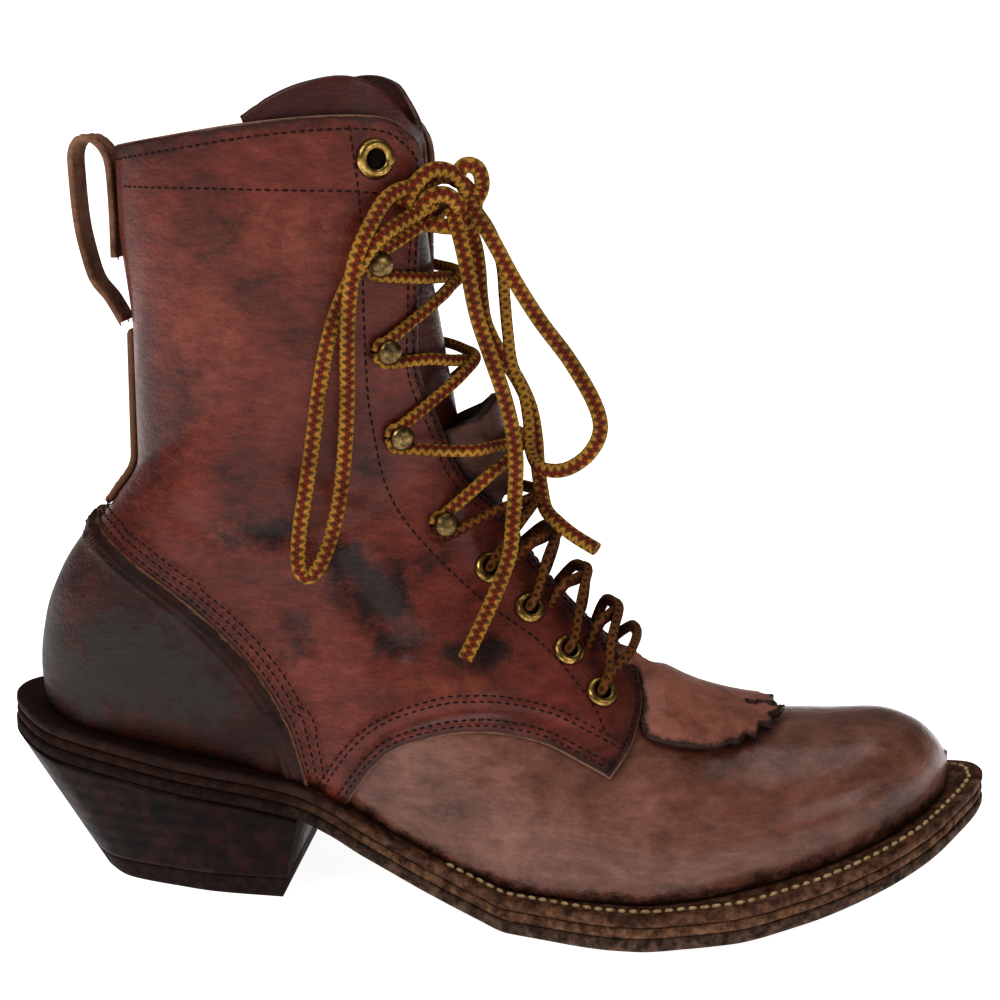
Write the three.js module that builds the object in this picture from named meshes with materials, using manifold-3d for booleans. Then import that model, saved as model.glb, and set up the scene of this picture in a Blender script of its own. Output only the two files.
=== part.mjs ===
import * as THREE from 'three';
import { mergeVertices } from 'three/addons/utils/BufferGeometryUtils.js';
import Module from 'manifold-3d';

const wasm = await Module();
wasm.setup();

// A right logger boot, standing empty on its sole. X runs to the toe, Z up, and the outer side faces -Y.
// Driving sizes in millimetres.
const length = 312; // outsole, from the back of the heel ledge to the toe tip
const ballWidth = 108; // outsole across the ball
const heelRise = 46; // foot line at the back of the heel, above the floor
const toeSpring = 28; // outsole at the toe tip, above the floor
const legHeight = 230; // collar above the foot line
const treadAt = 0.625 * length; // where the foot line meets the floor

const outsoleThickness = 4.2;
const midsoleThickness = 3;
const weltThickness = 3.4;
const weltWidth = 21;
const insoleThickness = 4;
const topLiftThickness = 7;
const heelBack = 28; // how far the base of the heel lies in front of its ledge
const heelBreast = 93; // front of the heel at the floor
const breastRake = 6; // how far the breast leans forward at its top
const heelBaseShare = 0.6; // width of the heel base over the ledge, at the back
const heelBaseSpread = 0.21; // and how much that share grows to the breast

const wall = 1.8; // vamp and lining of the upper
const quarterThickness = 1.8;
const counterThickness = 3;
const tongueThickness = 2.4;
const kiltieThickness = 2.2;
const kiltieLift = 8; // how far its top end stands off the form
const backstayThickness = 2.3;
const backstayWidth = 14;
const loopThickness = 2.6;
const loopWidth = 13;
const gap = 0.3; // between curved pieces
const tuck = 10; // how far the sections reach below the welt before the upper is trimmed

const laceThickness = 4.2;
const eyelet = { outer: 5, barrel: 2.9, bore: 2.1, rise: 1.3, lip: 0.4, web: 0.8, hollow: 0.35 };
const topEyelet = { outer: 6, barrel: 3.6, bore: 2.7, rise: 1.4, lip: 0.4, web: 0.8, hollow: 0.35 };
const hook = { base: 3.9, neck: 1.5, dome: 3.6, crown: 2.2, under: 3.2, brim: 3.6, rise: 5.2, plate: 0.8 };
const fittingSides = 7; // facets round an eyelet or hook
const seatClearance = 0.45; // under a flat flange on the curved quarter

// Offsets of the layers from the form, which is the outer face of the upper's wall.
const quarterOffset = gap + quarterThickness;
const counterOffset = gap + counterThickness;
const kiltieOffset = quarterOffset + gap;

function table(columns, rows) {
  return rows.map((row) => Object.fromEntries(columns.map((column, index) => [column, row[index]])));
}

// Sections of the form, from the toe tip to above the collar. Each lies in a plane that holds the Y
// direction and runs from a back point to a front point. Shares: at of the length, rise of the leg height
// above the foot line, shift and widths of the ball width, widest of the way to the front point.
// A back rise of null puts the back point under the welt.
const sections = table(
  [
    'name', 'backAt', 'backRise', 'frontAt', 'frontRise',
    'shift', 'lateral', 'medial', 'widest', 'low', 'high',
  ],
  [
    ['toe tip', 0.960, null, 0.960, 0.095, 0.086, 0.412, 0.417, 0.50, 3.0, 2.4],
    ['toe front', 0.950, null, 0.950, 0.119, 0.079, 0.412, 0.417, 0.48, 3.0, 2.4],
    ['toe rise', 0.929, null, 0.929, 0.152, 0.063, 0.412, 0.417, 0.47, 3.0, 2.35],
    ['toe box', 0.891, null, 0.891, 0.183, 0.044, 0.412, 0.417, 0.45, 3.0, 2.3],
    ['toe', 0.833, null, 0.840, 0.200, 0.026, 0.412, 0.417, 0.40, 3.2, 2.2],
    ['vamp front', 0.763, null, 0.779, 0.222, 0.004, 0.412, 0.412, 0.36, 3.4, 2.1],
    ['ball', 0.686, null, 0.712, 0.258, -0.019, 0.417, 0.412, 0.32, 3.4, 2.0],
    ['vamp', 0.615, null, 0.657, 0.303, -0.032, 0.403, 0.389, 0.29, 3.4, 2.0],
    ['vamp point', 0.551, null, 0.612, 0.346, -0.046, 0.366, 0.338, 0.27, 3.2, 1.95],
    ['waist front', 0.487, null, 0.574, 0.384, -0.046, 0.324, 0.296, 0.26, 3.0, 1.9],
    ['waist', 0.417, null, 0.540, 0.425, -0.030, 0.292, 0.278, 0.26, 2.9, 1.9],
    ['breast', 0.333, null, 0.513, 0.466, -0.014, 0.278, 0.273, 0.27, 2.8, 1.9],
    ['seat front', 0.237, null, 0.492, 0.510, -0.005, 0.273, 0.269, 0.29, 2.7, 1.95],
    ['seat', 0.138, null, 0.478, 0.551, 0, 0.278, 0.275, 0.33, 2.5, 2.0],
    ['heel corner', 0.058, null, 0.470, 0.594, 0, 0.282, 0.282, 0.37, 2.3, 2.05],
    ['counter low', 0.042, 0.105, 0.465, 0.631, 0, 0.287, 0.287, 0.41, 2.2, 2.1],
    ['counter', 0.048, 0.174, 0.459, 0.669, 0, 0.289, 0.289, 0.44, 2.15, 2.15],
    ['counter high', 0.066, 0.245, 0.454, 0.704, 0, 0.287, 0.287, 0.47, 2.1, 2.2],
    ['counter top', 0.095, 0.313, 0.449, 0.737, 0, 0.285, 0.285, 0.49, 2.1, 2.25],
    ['ankle', 0.123, 0.370, 0.444, 0.770, 0, 0.284, 0.284, 0.50, 2.15, 2.3],
    ['ankle top', 0.146, 0.440, 0.440, 0.810, 0, 0.284, 0.284, 0.50, 2.2, 2.35],
    ['leg', 0.146, 0.600, 0.434, 0.878, 0, 0.289, 0.289, 0.50, 2.3, 2.45],
    ['band', 0.135, 0.745, 0.432, 0.936, 0, 0.291, 0.291, 0.50, 2.3, 2.5],
    ['collar', 0.133, 0.860, 0.432, 0.995, 0, 0.291, 0.291, 0.50, 2.3, 2.5],
    ['above collar', 0.133, 0.938, 0.432, 1.077, 0, 0.291, 0.291, 0.50, 2.3, 2.5],
  ],
);
const toeRoundFrom = 0.686 * length; // from here the form rounds in to the toe
const toeRoundTo = 0.9625 * length;

// Outline of the sole from above: at as a share of the length, widths of the ball width.
const soleOutline = table(
  ['at', 'lateral', 'medial'],
  [
    [0, 0, 0],
    [0.022, 0.157, 0.157],
    [0.067, 0.269, 0.264],
    [0.147, 0.315, 0.315],
    [0.212, 0.333, 0.329],
    [0.317, 0.319, 0.306],
    [0.359, 0.310, 0.292],
    [0.401, 0.319, 0.292],
    [0.449, 0.352, 0.310],
    [0.545, 0.444, 0.398],
    [0.641, 0.505, 0.472],
    [0.744, 0.505, 0.491],
    [0.808, 0.454, 0.477],
    [0.881, 0.352, 0.421],
    [0.936, 0.231, 0.338],
    [0.974, 0.083, 0.245],
    [0.994, -0.019, 0.171],
    [1, -0.093, 0.093],
  ],
);

// Underside of the outsole from the side: at of the length, heel of the heel rise, toe of the toe spring.
const soleLine = table(
  ['name', 'at', 'heel', 'toe'],
  [
    ['heel back', 0, 1, 0],
    ['seat', 0.160, 0.805, 0],
    ['breast', 0.317, 0.61, 0],
    ['shank', 0.349, 0.504, 0],
    ['shank middle', 0.381, 0.374, 0],
    ['arch', 0.442, 0.187, 0],
    ['arch front', 0.503, 0.05, 0],
    ['tread back', 0.532, 0, 0],
    ['tread front', 0.656, 0, 0],
    ['ball', 0.701, 0, 0.06],
    ['toe', 0.808, 0, 0.295],
    ['toe front', 0.881, 0, 0.52],
    ['toe tip', 1, 0, 1],
  ],
);

// Outlines seen from the side, as points of [share of the length, share of the leg height].
const rim = [
  [0.115, 0.842], [0.188, 0.883], [0.282, 0.934], [0.359, 0.968], [0.403, 0.979], [0.423, 0.968],
  [0.434, 0.939], [0.433, 0.869],
];
const facing = [
  [0.432, 0.812], [0.432, 0.721], [0.434, 0.661], [0.451, 0.601], [0.471, 0.538], [0.510, 0.489],
  [0.558, 0.422], [0.610, 0.360], [0.639, 0.326],
];
const vampEdge = [
  [0.365, 0.060], [0.404, 0.146], [0.452, 0.192], [0.506, 0.222], [0.558, 0.232], [0.603, 0.223],
  [0.627, 0.215],
];
const quarterFront = [
  [0.646, 0.251], [0.655, 0.290], [0.649, 0.318],
];
const counterEdge = [
  [0.060, 0.333], [0.114, 0.339], [0.149, 0.325], [0.192, 0.300], [0.231, 0.269], [0.269, 0.227],
  [0.298, 0.180], [0.316, 0.131], [0.329, 0.060],
];
const tongueTop = [
  [0.269, 0.936], [0.297, 0.970], [0.327, 0.997], [0.364, 1.018], [0.393, 1.017], [0.408, 1.000],
  [0.430, 0.966],
];
const tongueBack = [
  [0.628, 0.287], [0.571, 0.330], [0.481, 0.393], [0.404, 0.451], [0.359, 0.524], [0.337, 0.625],
  [0.327, 0.731], [0.308, 0.833],
];
const kiltieBack = [
  [0.654, 0.260], [0.652, 0.290], [0.634, 0.322], [0.604, 0.352], [0.570, 0.390], [0.534, 0.436],
  [0.506, 0.482], [0.482, 0.545], [0.478, 0.605], [0.478, 0.653],
];
const kiltieFlap = [
  [0.762, 0.262], [0.782, 0.242], [0.793, 0.227], [0.757, 0.223], [0.724, 0.228], [0.696, 0.236], [0.667, 0.250],
];
const pullLoop = [
  [0.124, 0.610], [0.111, 0.636], [0.096, 0.657], [0.087, 0.693], [0.081, 0.733], [0.078, 0.786],
  [0.078, 0.825], [0.088, 0.848], [0.106, 0.853], [0.121, 0.832], [0.125, 0.78], [0.126, 0.70],
];
const backstayRise = { at: 0.1, low: 0.345, high: 0.595 };

// Lace fittings of one side, from the collar down.
const fittings = table(
  ['name', 'kind', 'at', 'rise'],
  [
    ['eyelet_top', 'topEyelet', 0.395, 0.925],
    ['hook_1', 'hook', 0.395, 0.794],
    ['hook_2', 'hook', 0.402, 0.684],
    ['hook_3', 'hook', 0.413, 0.574],
    ['hook_4', 'hook', 0.456, 0.466],
    ['eyelet_1', 'eyelet', 0.502, 0.424],
    ['eyelet_2', 'eyelet', 0.542, 0.386],
    ['eyelet_3', 'eyelet', 0.581, 0.346],
    ['eyelet_4', 'eyelet', 0.615, 0.308],
  ],
);

const finishes = {
  vamp: { color: 0x54301f, roughness: 0.42 },
  quarter: { color: 0x5f2c1c, roughness: 0.45 },
  counter: { color: 0x4a3026, roughness: 0.6 },
  tongue: { color: 0x6b2a1a, roughness: 0.5 },
  kiltie: { color: 0x8a5a4a, roughness: 0.7 },
  strap: { color: 0x9a6a48, roughness: 0.85 },
  welt: { color: 0x3a2419, roughness: 0.6 },
  midsole: { color: 0x8a6748, roughness: 0.75 },
  outsole: { color: 0x241c19, roughness: 0.8 },
  heel: { color: 0x2e1714, roughness: 0.55 },
  insole: { color: 0xa07a55, roughness: 0.85 },
  brass: { color: 0xc2913f, roughness: 0.32, metalness: 1 },
  antique: { color: 0x7c5a34, roughness: 0.4, metalness: 1 },
  lace: { color: 0xb5803a, roughness: 0.8 },
};

const boot = new THREE.Group();

function addPiece(name, solid, finish) {
  const mesh = new THREE.Mesh(toGeometry(solid), new THREE.MeshStandardMaterial(finishes[finish]));
  mesh.name = name;
  boot.add(mesh);
}

function toSolid(geometry) {
  const bare = geometry.clone();
  bare.deleteAttribute('normal');
  bare.deleteAttribute('uv');
  const merged = mergeVertices(bare, 1e-4);
  const corners = merged.index.array;
  const kept = [];
  for (let i = 0; i < corners.length; i += 3) {
    const [a, b, c] = [corners[i], corners[i + 1], corners[i + 2]];
    if (a !== b && b !== c && c !== a) kept.push(a, b, c);
  }
  const vertProperties = new Float32Array(merged.attributes.position.array);
  const close = () => {
    const triVerts = new Uint32Array(kept);
    return new wasm.Manifold(new wasm.Mesh({ numProp: 3, vertProperties, triVerts }));
  };
  const solid = close();
  if (solid.volume() > 0) return solid;
  for (let i = 0; i < kept.length; i += 3) {
    [kept[i + 1], kept[i + 2]] = [kept[i + 2], kept[i + 1]];
  }
  return close();
}

function toGeometry(solid) {
  const mesh = solid.getMesh();
  const geometry = new THREE.BufferGeometry();
  geometry.setAttribute('position', new THREE.BufferAttribute(new Float32Array(mesh.vertProperties), 3));
  geometry.setIndex(new THREE.BufferAttribute(new Uint32Array(mesh.triVerts), 1));
  geometry.computeVertexNormals();
  return geometry;
}

// Smooth curve through the rows of a table, which never swings past them.
function smooth(rows, across, column) {
  const x = rows.map((row) => row[across]);
  const y = rows.map((row) => row[column]);
  const last = rows.length - 1;
  const rise = x.slice(1).map((value, i) => (y[i + 1] - y[i]) / (value - x[i]));
  const slope = x.map((value, i) => {
    if (i === 0) return rise[0];
    if (i === last) return rise[last - 1];
    const product = rise[i - 1] * rise[i];
    return product > 0 ? (2 * product) / (rise[i - 1] + rise[i]) : 0;
  });
  return (at) => {
    let i = 0;
    while (i < last - 1 && at > x[i + 1]) i += 1;
    const span = x[i + 1] - x[i];
    const t = Math.min(1, Math.max(0, (at - x[i]) / span));
    const ends = y[i] * (1 + 2 * t) * (1 - t) ** 2 + y[i + 1] * t * t * (3 - 2 * t);
    return ends + span * (slope[i] * t * (1 - t) ** 2 - slope[i + 1] * t * t * (1 - t));
  };
}

const heelShare = smooth(soleLine, 'at', 'heel');
const toeShare = smooth(soleLine, 'at', 'toe');
const soleThickness = outsoleThickness + midsoleThickness + weltThickness + 2 * gap;

function soleBottom(x) {
  return heelRise * heelShare(x / length) + toeSpring * toeShare(x / length);
}

function soleTop(x) {
  return soleBottom(x) + soleThickness;
}

// Foot line, a straight ramp down to the tread and a curve up to the toe, which the upper's rises start from.
function footLine(x) {
  const forefoot = Math.max(0, (x - treadAt) / (length - treadAt));
  return heelRise * Math.max(0, 1 - x / treadAt) + toeSpring * forefoot ** 1.75;
}

function fromSide([at, rise]) {
  return new THREE.Vector2(at * length, footLine(at * length) + rise * legHeight);
}

// Closed solid through a list of rings with the same number of corners.
function loft(rings) {
  const corners = rings[0].length;
  const positions = rings.flatMap((ring) => ring.flatMap((corner) => corner.toArray()));
  const index = [];
  for (let i = 0; i + 1 < rings.length; i += 1) {
    for (let j = 0; j < corners; j += 1) {
      const next = (j + 1) % corners;
      const [a, b] = [i * corners + j, i * corners + next];
      const [c, d] = [a + corners, b + corners];
      index.push(a, c, b, b, c, d);
    }
  }
  const lastRing = (rings.length - 1) * corners;
  for (let j = 0; j < corners / 2; j += 1) {
    const [a, b, c, d] = [j, j + 1, corners - 1 - j, (corners - j) % corners];
    index.push(a, b, c, a, c, d);
    index.push(lastRing + a, lastRing + c, lastRing + b, lastRing + a, lastRing + d, lastRing + c);
  }
  const geometry = new THREE.BufferGeometry();
  geometry.setAttribute('position', new THREE.Float32BufferAttribute(positions, 3));
  geometry.setIndex(index);
  return toSolid(geometry);
}

// Sole

const soleSteps = 30;
const spread = soleOutline.map((row) => ({ ...row, turn: Math.acos(1 - 2 * row.at) }));
const lateralShare = smooth(spread, 'turn', 'lateral');
const medialShare = smooth(spread, 'turn', 'medial');

function soleStation(step) {
  return (length * (1 - Math.cos((Math.PI * step) / soleSteps))) / 2;
}

function edgePoints(inset) {
  const sides = [-1, 1].map((side) => {
    const share = side < 0 ? lateralShare : medialShare;
    const edge = Array.from({ length: soleSteps + 1 }, (_, step) => {
      const turn = (Math.PI * step) / soleSteps;
      return new THREE.Vector2(soleStation(step), side * ballWidth * share(turn));
    });
    return edge.map((point, step) => {
      const before = edge[Math.max(0, step - 1)];
      const after = edge[Math.min(soleSteps, step + 1)];
      const along = after.clone().sub(before).normalize();
      if (step === 0) return new THREE.Vector2(inset, 0);
      if (step === soleSteps) return new THREE.Vector2(point.x - inset, point.y);
      return new THREE.Vector2(point.x + side * along.y * inset, point.y - side * along.x * inset);
    });
  });
  return sides[0].map((lateral, step) => ({ lateral, medial: sides[1][step] }));
}

// Plate between two heights that depend on x, inside the sole's outline.
function solePlate(inset, top, bottom) {
  const kept = edgePoints(inset).filter(({ lateral, medial }) => medial.y - lateral.y >= inset / 2);
  return loft(kept.map(({ lateral, medial }) => [
    new THREE.Vector3(lateral.x, lateral.y, top(lateral.x)),
    new THREE.Vector3(lateral.x, lateral.y, bottom(lateral.x)),
    new THREE.Vector3(medial.x, medial.y, bottom(medial.x)),
    new THREE.Vector3(medial.x, medial.y, top(medial.x)),
  ]));
}

const outsoleTop = (x) => soleBottom(x) + outsoleThickness;
const midsoleBottom = (x) => outsoleTop(x) + gap;
const midsoleTop = (x) => midsoleBottom(x) + midsoleThickness;
const weltBottom = (x) => midsoleTop(x) + gap;

function makeWelt() {
  const above = (x) => soleTop(x) + weltThickness;
  const below = (x) => weltBottom(x) - weltThickness;
  return solePlate(0, soleTop, weltBottom).subtract(solePlate(weltWidth, above, below));
}

// The midsole fills the welt's ring, so that the insole has a floor.
function makeMidsole() {
  const middle = (x) => (midsoleTop(x) + midsoleBottom(x)) / 2;
  const fillTop = (x) => soleTop(x) - gap;
  return solePlate(0, midsoleTop, midsoleBottom).add(solePlate(weltWidth + gap, fillTop, middle));
}

// Height between the sole's steps, where its surfaces are straight.
function faceted(height) {
  return (x) => {
    let step = 1;
    while (step < soleSteps && soleStation(step) < x) step += 1;
    const [from, to] = [soleStation(step - 1), soleStation(step)];
    return THREE.MathUtils.lerp(height(from), height(to), (x - from) / (to - from));
  };
}

// Heel between two heights: its side is straight from the ledge to the smaller base.
function heelBlock(top, bottom) {
  const ledge = edgePoints(0).filter(({ lateral }) => lateral.x < heelBreast + breastRake);
  const turn = Math.acos(1 - (2 * (heelBreast + breastRake)) / length);
  const front = new THREE.Vector2(heelBreast + breastRake, 0);
  ledge.push({
    lateral: front.clone().setY(-ballWidth * lateralShare(turn)),
    medial: front.clone().setY(ballWidth * medialShare(turn)),
  });
  const corner = (edge, height) => {
    const share = edge.x / (heelBreast + breastRake);
    const base = new THREE.Vector3(
      heelBack + share * (heelBreast - heelBack),
      edge.y * (heelBaseShare + share * heelBaseSpread),
      0,
    );
    const seat = new THREE.Vector3(edge.x, edge.y, soleBottom(edge.x));
    return base.lerp(seat, height(edge.x) / seat.z);
  };
  return loft(ledge.map(({ lateral, medial }) => [
    corner(lateral, top),
    corner(lateral, bottom),
    corner(medial, bottom),
    corner(medial, top),
  ]));
}

addPiece('outsole', solePlate(0, outsoleTop, soleBottom), 'outsole');
addPiece('midsole', makeMidsole(), 'midsole');
addPiece('welt', makeWelt(), 'welt');
addPiece('heel_stack', heelBlock(faceted((x) => soleBottom(x) - gap), () => topLiftThickness), 'heel');
addPiece('top_lift', heelBlock(() => topLiftThickness - gap, () => 0), 'outsole');

// Form of the upper

const halfCorners = 7;
const corners = 2 * halfCorners;
const sectionCurves = Object.fromEntries(
  ['low', 'high', 'widest', 'shift', 'lateral', 'medial'].map((column) => [
    column,
    smooth(sections.map((row, index) => ({ ...row, index })), 'index', column),
  ]),
);
const ends = sections.map((row, index) => {
  const back = new THREE.Vector2(row.backAt * length, soleTop(row.backAt * length) - tuck);
  if (row.backRise !== null) back.copy(fromSide([row.backAt, row.backRise]));
  const front = fromSide([row.frontAt, row.frontRise]);
  return { index, backX: back.x, backZ: back.y, frontX: front.x, frontZ: front.y };
});
const endCurves = Object.fromEntries(
  ['backX', 'backZ', 'frontX', 'frontZ'].map((column) => [column, smooth(ends, 'index', column)]),
);

function toeRound(x) {
  const share = Math.max(0, (x - toeRoundFrom) / (toeRoundTo - toeRoundFrom));
  return Math.sqrt(Math.max(0, 1 - share * share));
}

// Point of the form: row counts the sections, and turn goes from the back point (0) by the lateral side
// to the front point (0.5) and by the medial side back to 1.
function formPoint(row, turn) {
  const back = new THREE.Vector2(endCurves.backX(row), endCurves.backZ(row));
  const front = new THREE.Vector2(endCurves.frontX(row), endCurves.frontZ(row));
  const side = turn <= 0.5 ? -1 : 1;
  const angle = Math.PI * (turn <= 0.5 ? 2 * turn : 2 - 2 * turn);
  const upperPart = angle > Math.PI / 2;
  const power = 2 / (upperPart ? sectionCurves.high(row) : sectionCurves.low(row));
  const widest = sectionCurves.widest(row);
  const reach = Math.abs(Math.cos(angle)) ** power;
  const share = upperPart ? widest + (1 - widest) * reach : widest * (1 - reach);
  const half = side < 0 ? sectionCurves.lateral(row) : sectionCurves.medial(row);
  const place = back.lerp(front, share);
  const width = half * Math.abs(Math.sin(angle)) ** power * toeRound(endCurves.backX(row));
  return new THREE.Vector3(place.x, ballWidth * (sectionCurves.shift(row) + side * width), place.y);
}

const topRow = sections.length - 1;
const halfRow = 0.5;
const halfStep = 0.25 / halfCorners;

// Same point moved out from the form, or into it when the offset is negative.
function skin(row, turn, offset) {
  const wrapped = ((turn % 1) + 1) % 1;
  const before = formPoint(row, (wrapped - halfStep + 1) % 1);
  const around = formPoint(row, (wrapped + halfStep) % 1).sub(before);
  const lower = formPoint(Math.max(0, row - halfRow), wrapped);
  const along = formPoint(Math.min(topRow, row + halfRow), wrapped).sub(lower);
  const normal = around.cross(along).normalize();
  const point = formPoint(row, wrapped).addScaledVector(normal, offset);
  return { point, normal };
}

function sock(offset) {
  const rings = sections.map((_, row) => Array.from({ length: corners }, (__, corner) => {
    const depth = typeof offset === 'function' ? offset(row) : offset;
    return skin(row, corner / corners, depth).point;
  }));
  return loft(rings);
}

// Layer between two offsets of the form.
function shell(inner, outer) {
  return sock(outer).subtract(sock(inner));
}

// Solid that holds what lies inside an outline seen from the side.
function sideCut(points, from = -ballWidth, to = ballWidth) {
  const shape = new THREE.Shape(points);
  const geometry = new THREE.ExtrudeGeometry(shape, { depth: to - from, bevelEnabled: false });
  geometry.rotateX(Math.PI / 2);
  geometry.translate(0, to, 0);
  return toSolid(geometry);
}

function curveThrough(shares, pieces) {
  return new THREE.SplineCurve(shares.map(fromSide)).getPoints(pieces);
}

// Block across the whole boot between two heights, with its steps where the sole has them.
function blockBetween(low, high) {
  return loft(Array.from({ length: soleSteps + 1 }, (_, index) => {
    const x = soleStation(index);
    return [
      new THREE.Vector3(x, -ballWidth, high(x)),
      new THREE.Vector3(x, -ballWidth, low(x)),
      new THREE.Vector3(x, ballWidth, low(x)),
      new THREE.Vector3(x, ballWidth, high(x)),
    ];
  }));
}

const far = 2 * legHeight;
const upperFloor = blockBetween((x) => soleTop(x) - far, (x) => soleTop(x) + gap);
const facingLine = curveThrough(facing, 8);
const throatEnd = new THREE.Vector2(5, 4); // past the last point of the facing, under the kiltie
const openTop = sideCut([
  new THREE.Vector2(-far, fromSide(rim[0]).y),
  ...curveThrough(rim, 7),
  ...facingLine,
  facingLine.at(-1).clone().add(throatEnd),
  facingLine.at(-1).clone().add(new THREE.Vector2(far, far)),
  new THREE.Vector2(-far, 2 * far),
]);

// Upper, insole and tongue

const formInside = sock(-wall);
const upper = sock(0).subtract(formInside).subtract(upperFloor).subtract(openTop);
const insoleRoom = blockBetween((x) => soleTop(x) + gap, (x) => soleTop(x) + gap + insoleThickness);
addPiece('insole', sock(-wall - gap).intersect(insoleRoom), 'insole');

const tongueSide = sideCut([...curveThrough(tongueTop, 7), new THREE.Vector2(far, far),
  new THREE.Vector2(far, fromSide(tongueBack[0]).y), ...curveThrough(tongueBack, 8)]);
const tongueOuter = -wall - gap;
addPiece('tongue', shell(tongueOuter - tongueThickness, tongueOuter).intersect(tongueSide), 'tongue');

// Overlays, cut between two larger forms

const counterLine = curveThrough(counterEdge, 7);
const behindCounter = (clearance) => {
  const line = counterLine.map((point) => point.clone().addScalar(clearance));
  return sideCut([
    ...line,
    new THREE.Vector2(line.at(-1).x, -far),
    new THREE.Vector2(-far, -far),
    new THREE.Vector2(-far, line[0].y),
  ]);
};
const counterShell = shell(gap, counterOffset).subtract(upperFloor);
addPiece('counter', counterShell.intersect(behindCounter(0)), 'counter');

const quarterSide = [
  ...curveThrough(vampEdge, 7),
  ...curveThrough([vampEdge.at(-1), ...quarterFront, facing.at(-1)], 8).slice(1),
  new THREE.Vector2(far, far),
  new THREE.Vector2(-far, far),
  new THREE.Vector2(-far, -far),
  new THREE.Vector2(fromSide(vampEdge[0]).x, -far),
];
const quarterShell = shell(gap, quarterOffset)
  .subtract(upperFloor)
  .subtract(openTop)
  .subtract(behindCounter(gap));

const backHalf = sections.at(-1).frontAt * length / 2;
const backstayLow = fromSide([backstayRise.at, backstayRise.low]).y;
const backstayHigh = fromSide([backstayRise.at, backstayRise.high]).y;
const backstayCut = sideCut([
  new THREE.Vector2(-far, backstayLow),
  new THREE.Vector2(backHalf, backstayLow),
  new THREE.Vector2(backHalf, backstayHigh),
  new THREE.Vector2(-far, backstayHigh),
], -backstayWidth / 2, backstayWidth / 2);
addPiece('backstay', shell(kiltieOffset, kiltieOffset + backstayThickness).intersect(backstayCut), 'strap');

// Pull loop: a strap that leaves the back seam, stands off it and comes down along it again.
function makeLoop() {
  const outside = curveThrough(pullLoop, 16);
  const inside = outside.map((point, index) => {
    const before = outside[Math.max(0, index - 1)];
    const after = outside[Math.min(outside.length - 1, index + 1)];
    const along = after.clone().sub(before).normalize();
    return new THREE.Vector2(point.x + along.y * loopThickness, point.y - along.x * loopThickness);
  });
  return sideCut([...outside, ...inside.reverse()], -loopWidth / 2, loopWidth / 2);
}
addPiece('pull_loop', makeLoop().subtract(sock(kiltieOffset)), 'strap');

// Kiltie: it lies over the quarters' front and stands off the form more and more towards its top end.
const kiltieStand = table(['row', 'share'], [
  [0, 0], [5, 0], [7, 0.025], [9, 0.15], [11, 0.4], [13, 0.7], [15, 0.95], [topRow, 1],
]);
const standAt = smooth(kiltieStand, 'row', 'share');
const kiltieInner = (row) => kiltieOffset + kiltieLift * standAt(row);
const kiltieOuter = (row) => kiltieInner(row) + kiltieThickness;
const kiltieSide = sideCut([
  ...curveThrough(kiltieBack, 8),
  new THREE.Vector2(fromSide(kiltieFlap[0]).x, fromSide(kiltieBack.at(-1)).y),
  ...curveThrough(kiltieFlap, 5),
]);
addPiece('kiltie', shell(kiltieInner, kiltieOuter).intersect(kiltieSide), 'kiltie');

// Lace fittings

// Row and turn where the form passes a point seen from the side, found by ever smaller steps.
const search = { row: topRow - 4, turn: 0.15, rowStep: 4, turnStep: 0.08, finest: 1e-3, margin: 0.01 };

function locate(target, side, offset) {
  const { clamp } = THREE.MathUtils;
  const middle = 0.5 + side * 0.25;
  const farthest = 0.25 - search.margin;
  let best = { row: search.row, turn: 0.5 + side * search.turn };
  const miss = ({ row, turn }) => {
    const { point } = skin(row, turn, offset);
    return Math.hypot(point.x - target.x, point.z - target.y);
  };
  let { rowStep, turnStep } = search;
  while (rowStep > search.finest) {
    const near = [];
    for (const rowMove of [-1, 0, 1]) {
      for (const turnMove of [-1, 0, 1]) {
        const row = clamp(best.row + rowMove * rowStep, 0, topRow);
        const turn = clamp(best.turn + turnMove * turnStep, middle - farthest, middle + farthest);
        near.push({ row, turn });
      }
    }
    const next = near.reduce((a, b) => (miss(b) < miss(a) ? b : a));
    if (miss(next) < miss(best) - 1e-9) {
      best = next;
    } else {
      rowStep /= 2;
      turnStep /= 2;
    }
  }
  return best;
}

function turned(profile, segments, place) {
  const points = profile.map(([radius, height]) => new THREE.Vector2(radius, height));
  const geometry = new THREE.LatheGeometry(points, segments);
  geometry.rotateX(Math.PI / 2);
  geometry.applyMatrix4(place);
  return toSolid(geometry);
}

function placeOn({ point, normal }, lift) {
  const turn = new THREE.Quaternion().setFromUnitVectors(new THREE.Vector3(0, 0, 1), normal);
  const place = point.clone().addScaledVector(normal, lift);
  return new THREE.Matrix4().compose(place, turn, new THREE.Vector3(1, 1, 1));
}

// A piece as close to its base as the gap allows: make builds it at a lift.
function seated(make, base, lowest, highest) {
  let [low, high] = [lowest, highest];
  while (high - low > gap / 10) {
    const middle = (low + high) / 2;
    if (make(middle).minGap(base, gap) < gap) {
      low = middle;
    } else {
      high = middle;
    }
  }
  return make(high);
}

const wallDepth = quarterOffset + wall;
const drillSides = 6;

// The bore narrows to a web that closes the inner end, and the flange is hollow underneath.
function makeEyelet(size, place) {
  const webTop = size.web - wallDepth;
  return turned([
    [0, -wallDepth],
    [size.barrel, -wallDepth],
    [size.barrel, size.hollow],
    [size.outer, 0],
    [size.outer - size.lip, size.rise - size.lip],
    [(size.outer + size.bore) / 2, size.rise],
    [0, webTop],
  ], fittingSides, place);
}

function makeHook(place) {
  return turned([
    [0, 0],
    [hook.base, 0],
    [hook.neck, hook.plate],
    [hook.neck, hook.under],
    [hook.dome, hook.brim],
    [hook.crown, hook.rise],
    [0, hook.rise],
  ], fittingSides, place);
}

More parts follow.
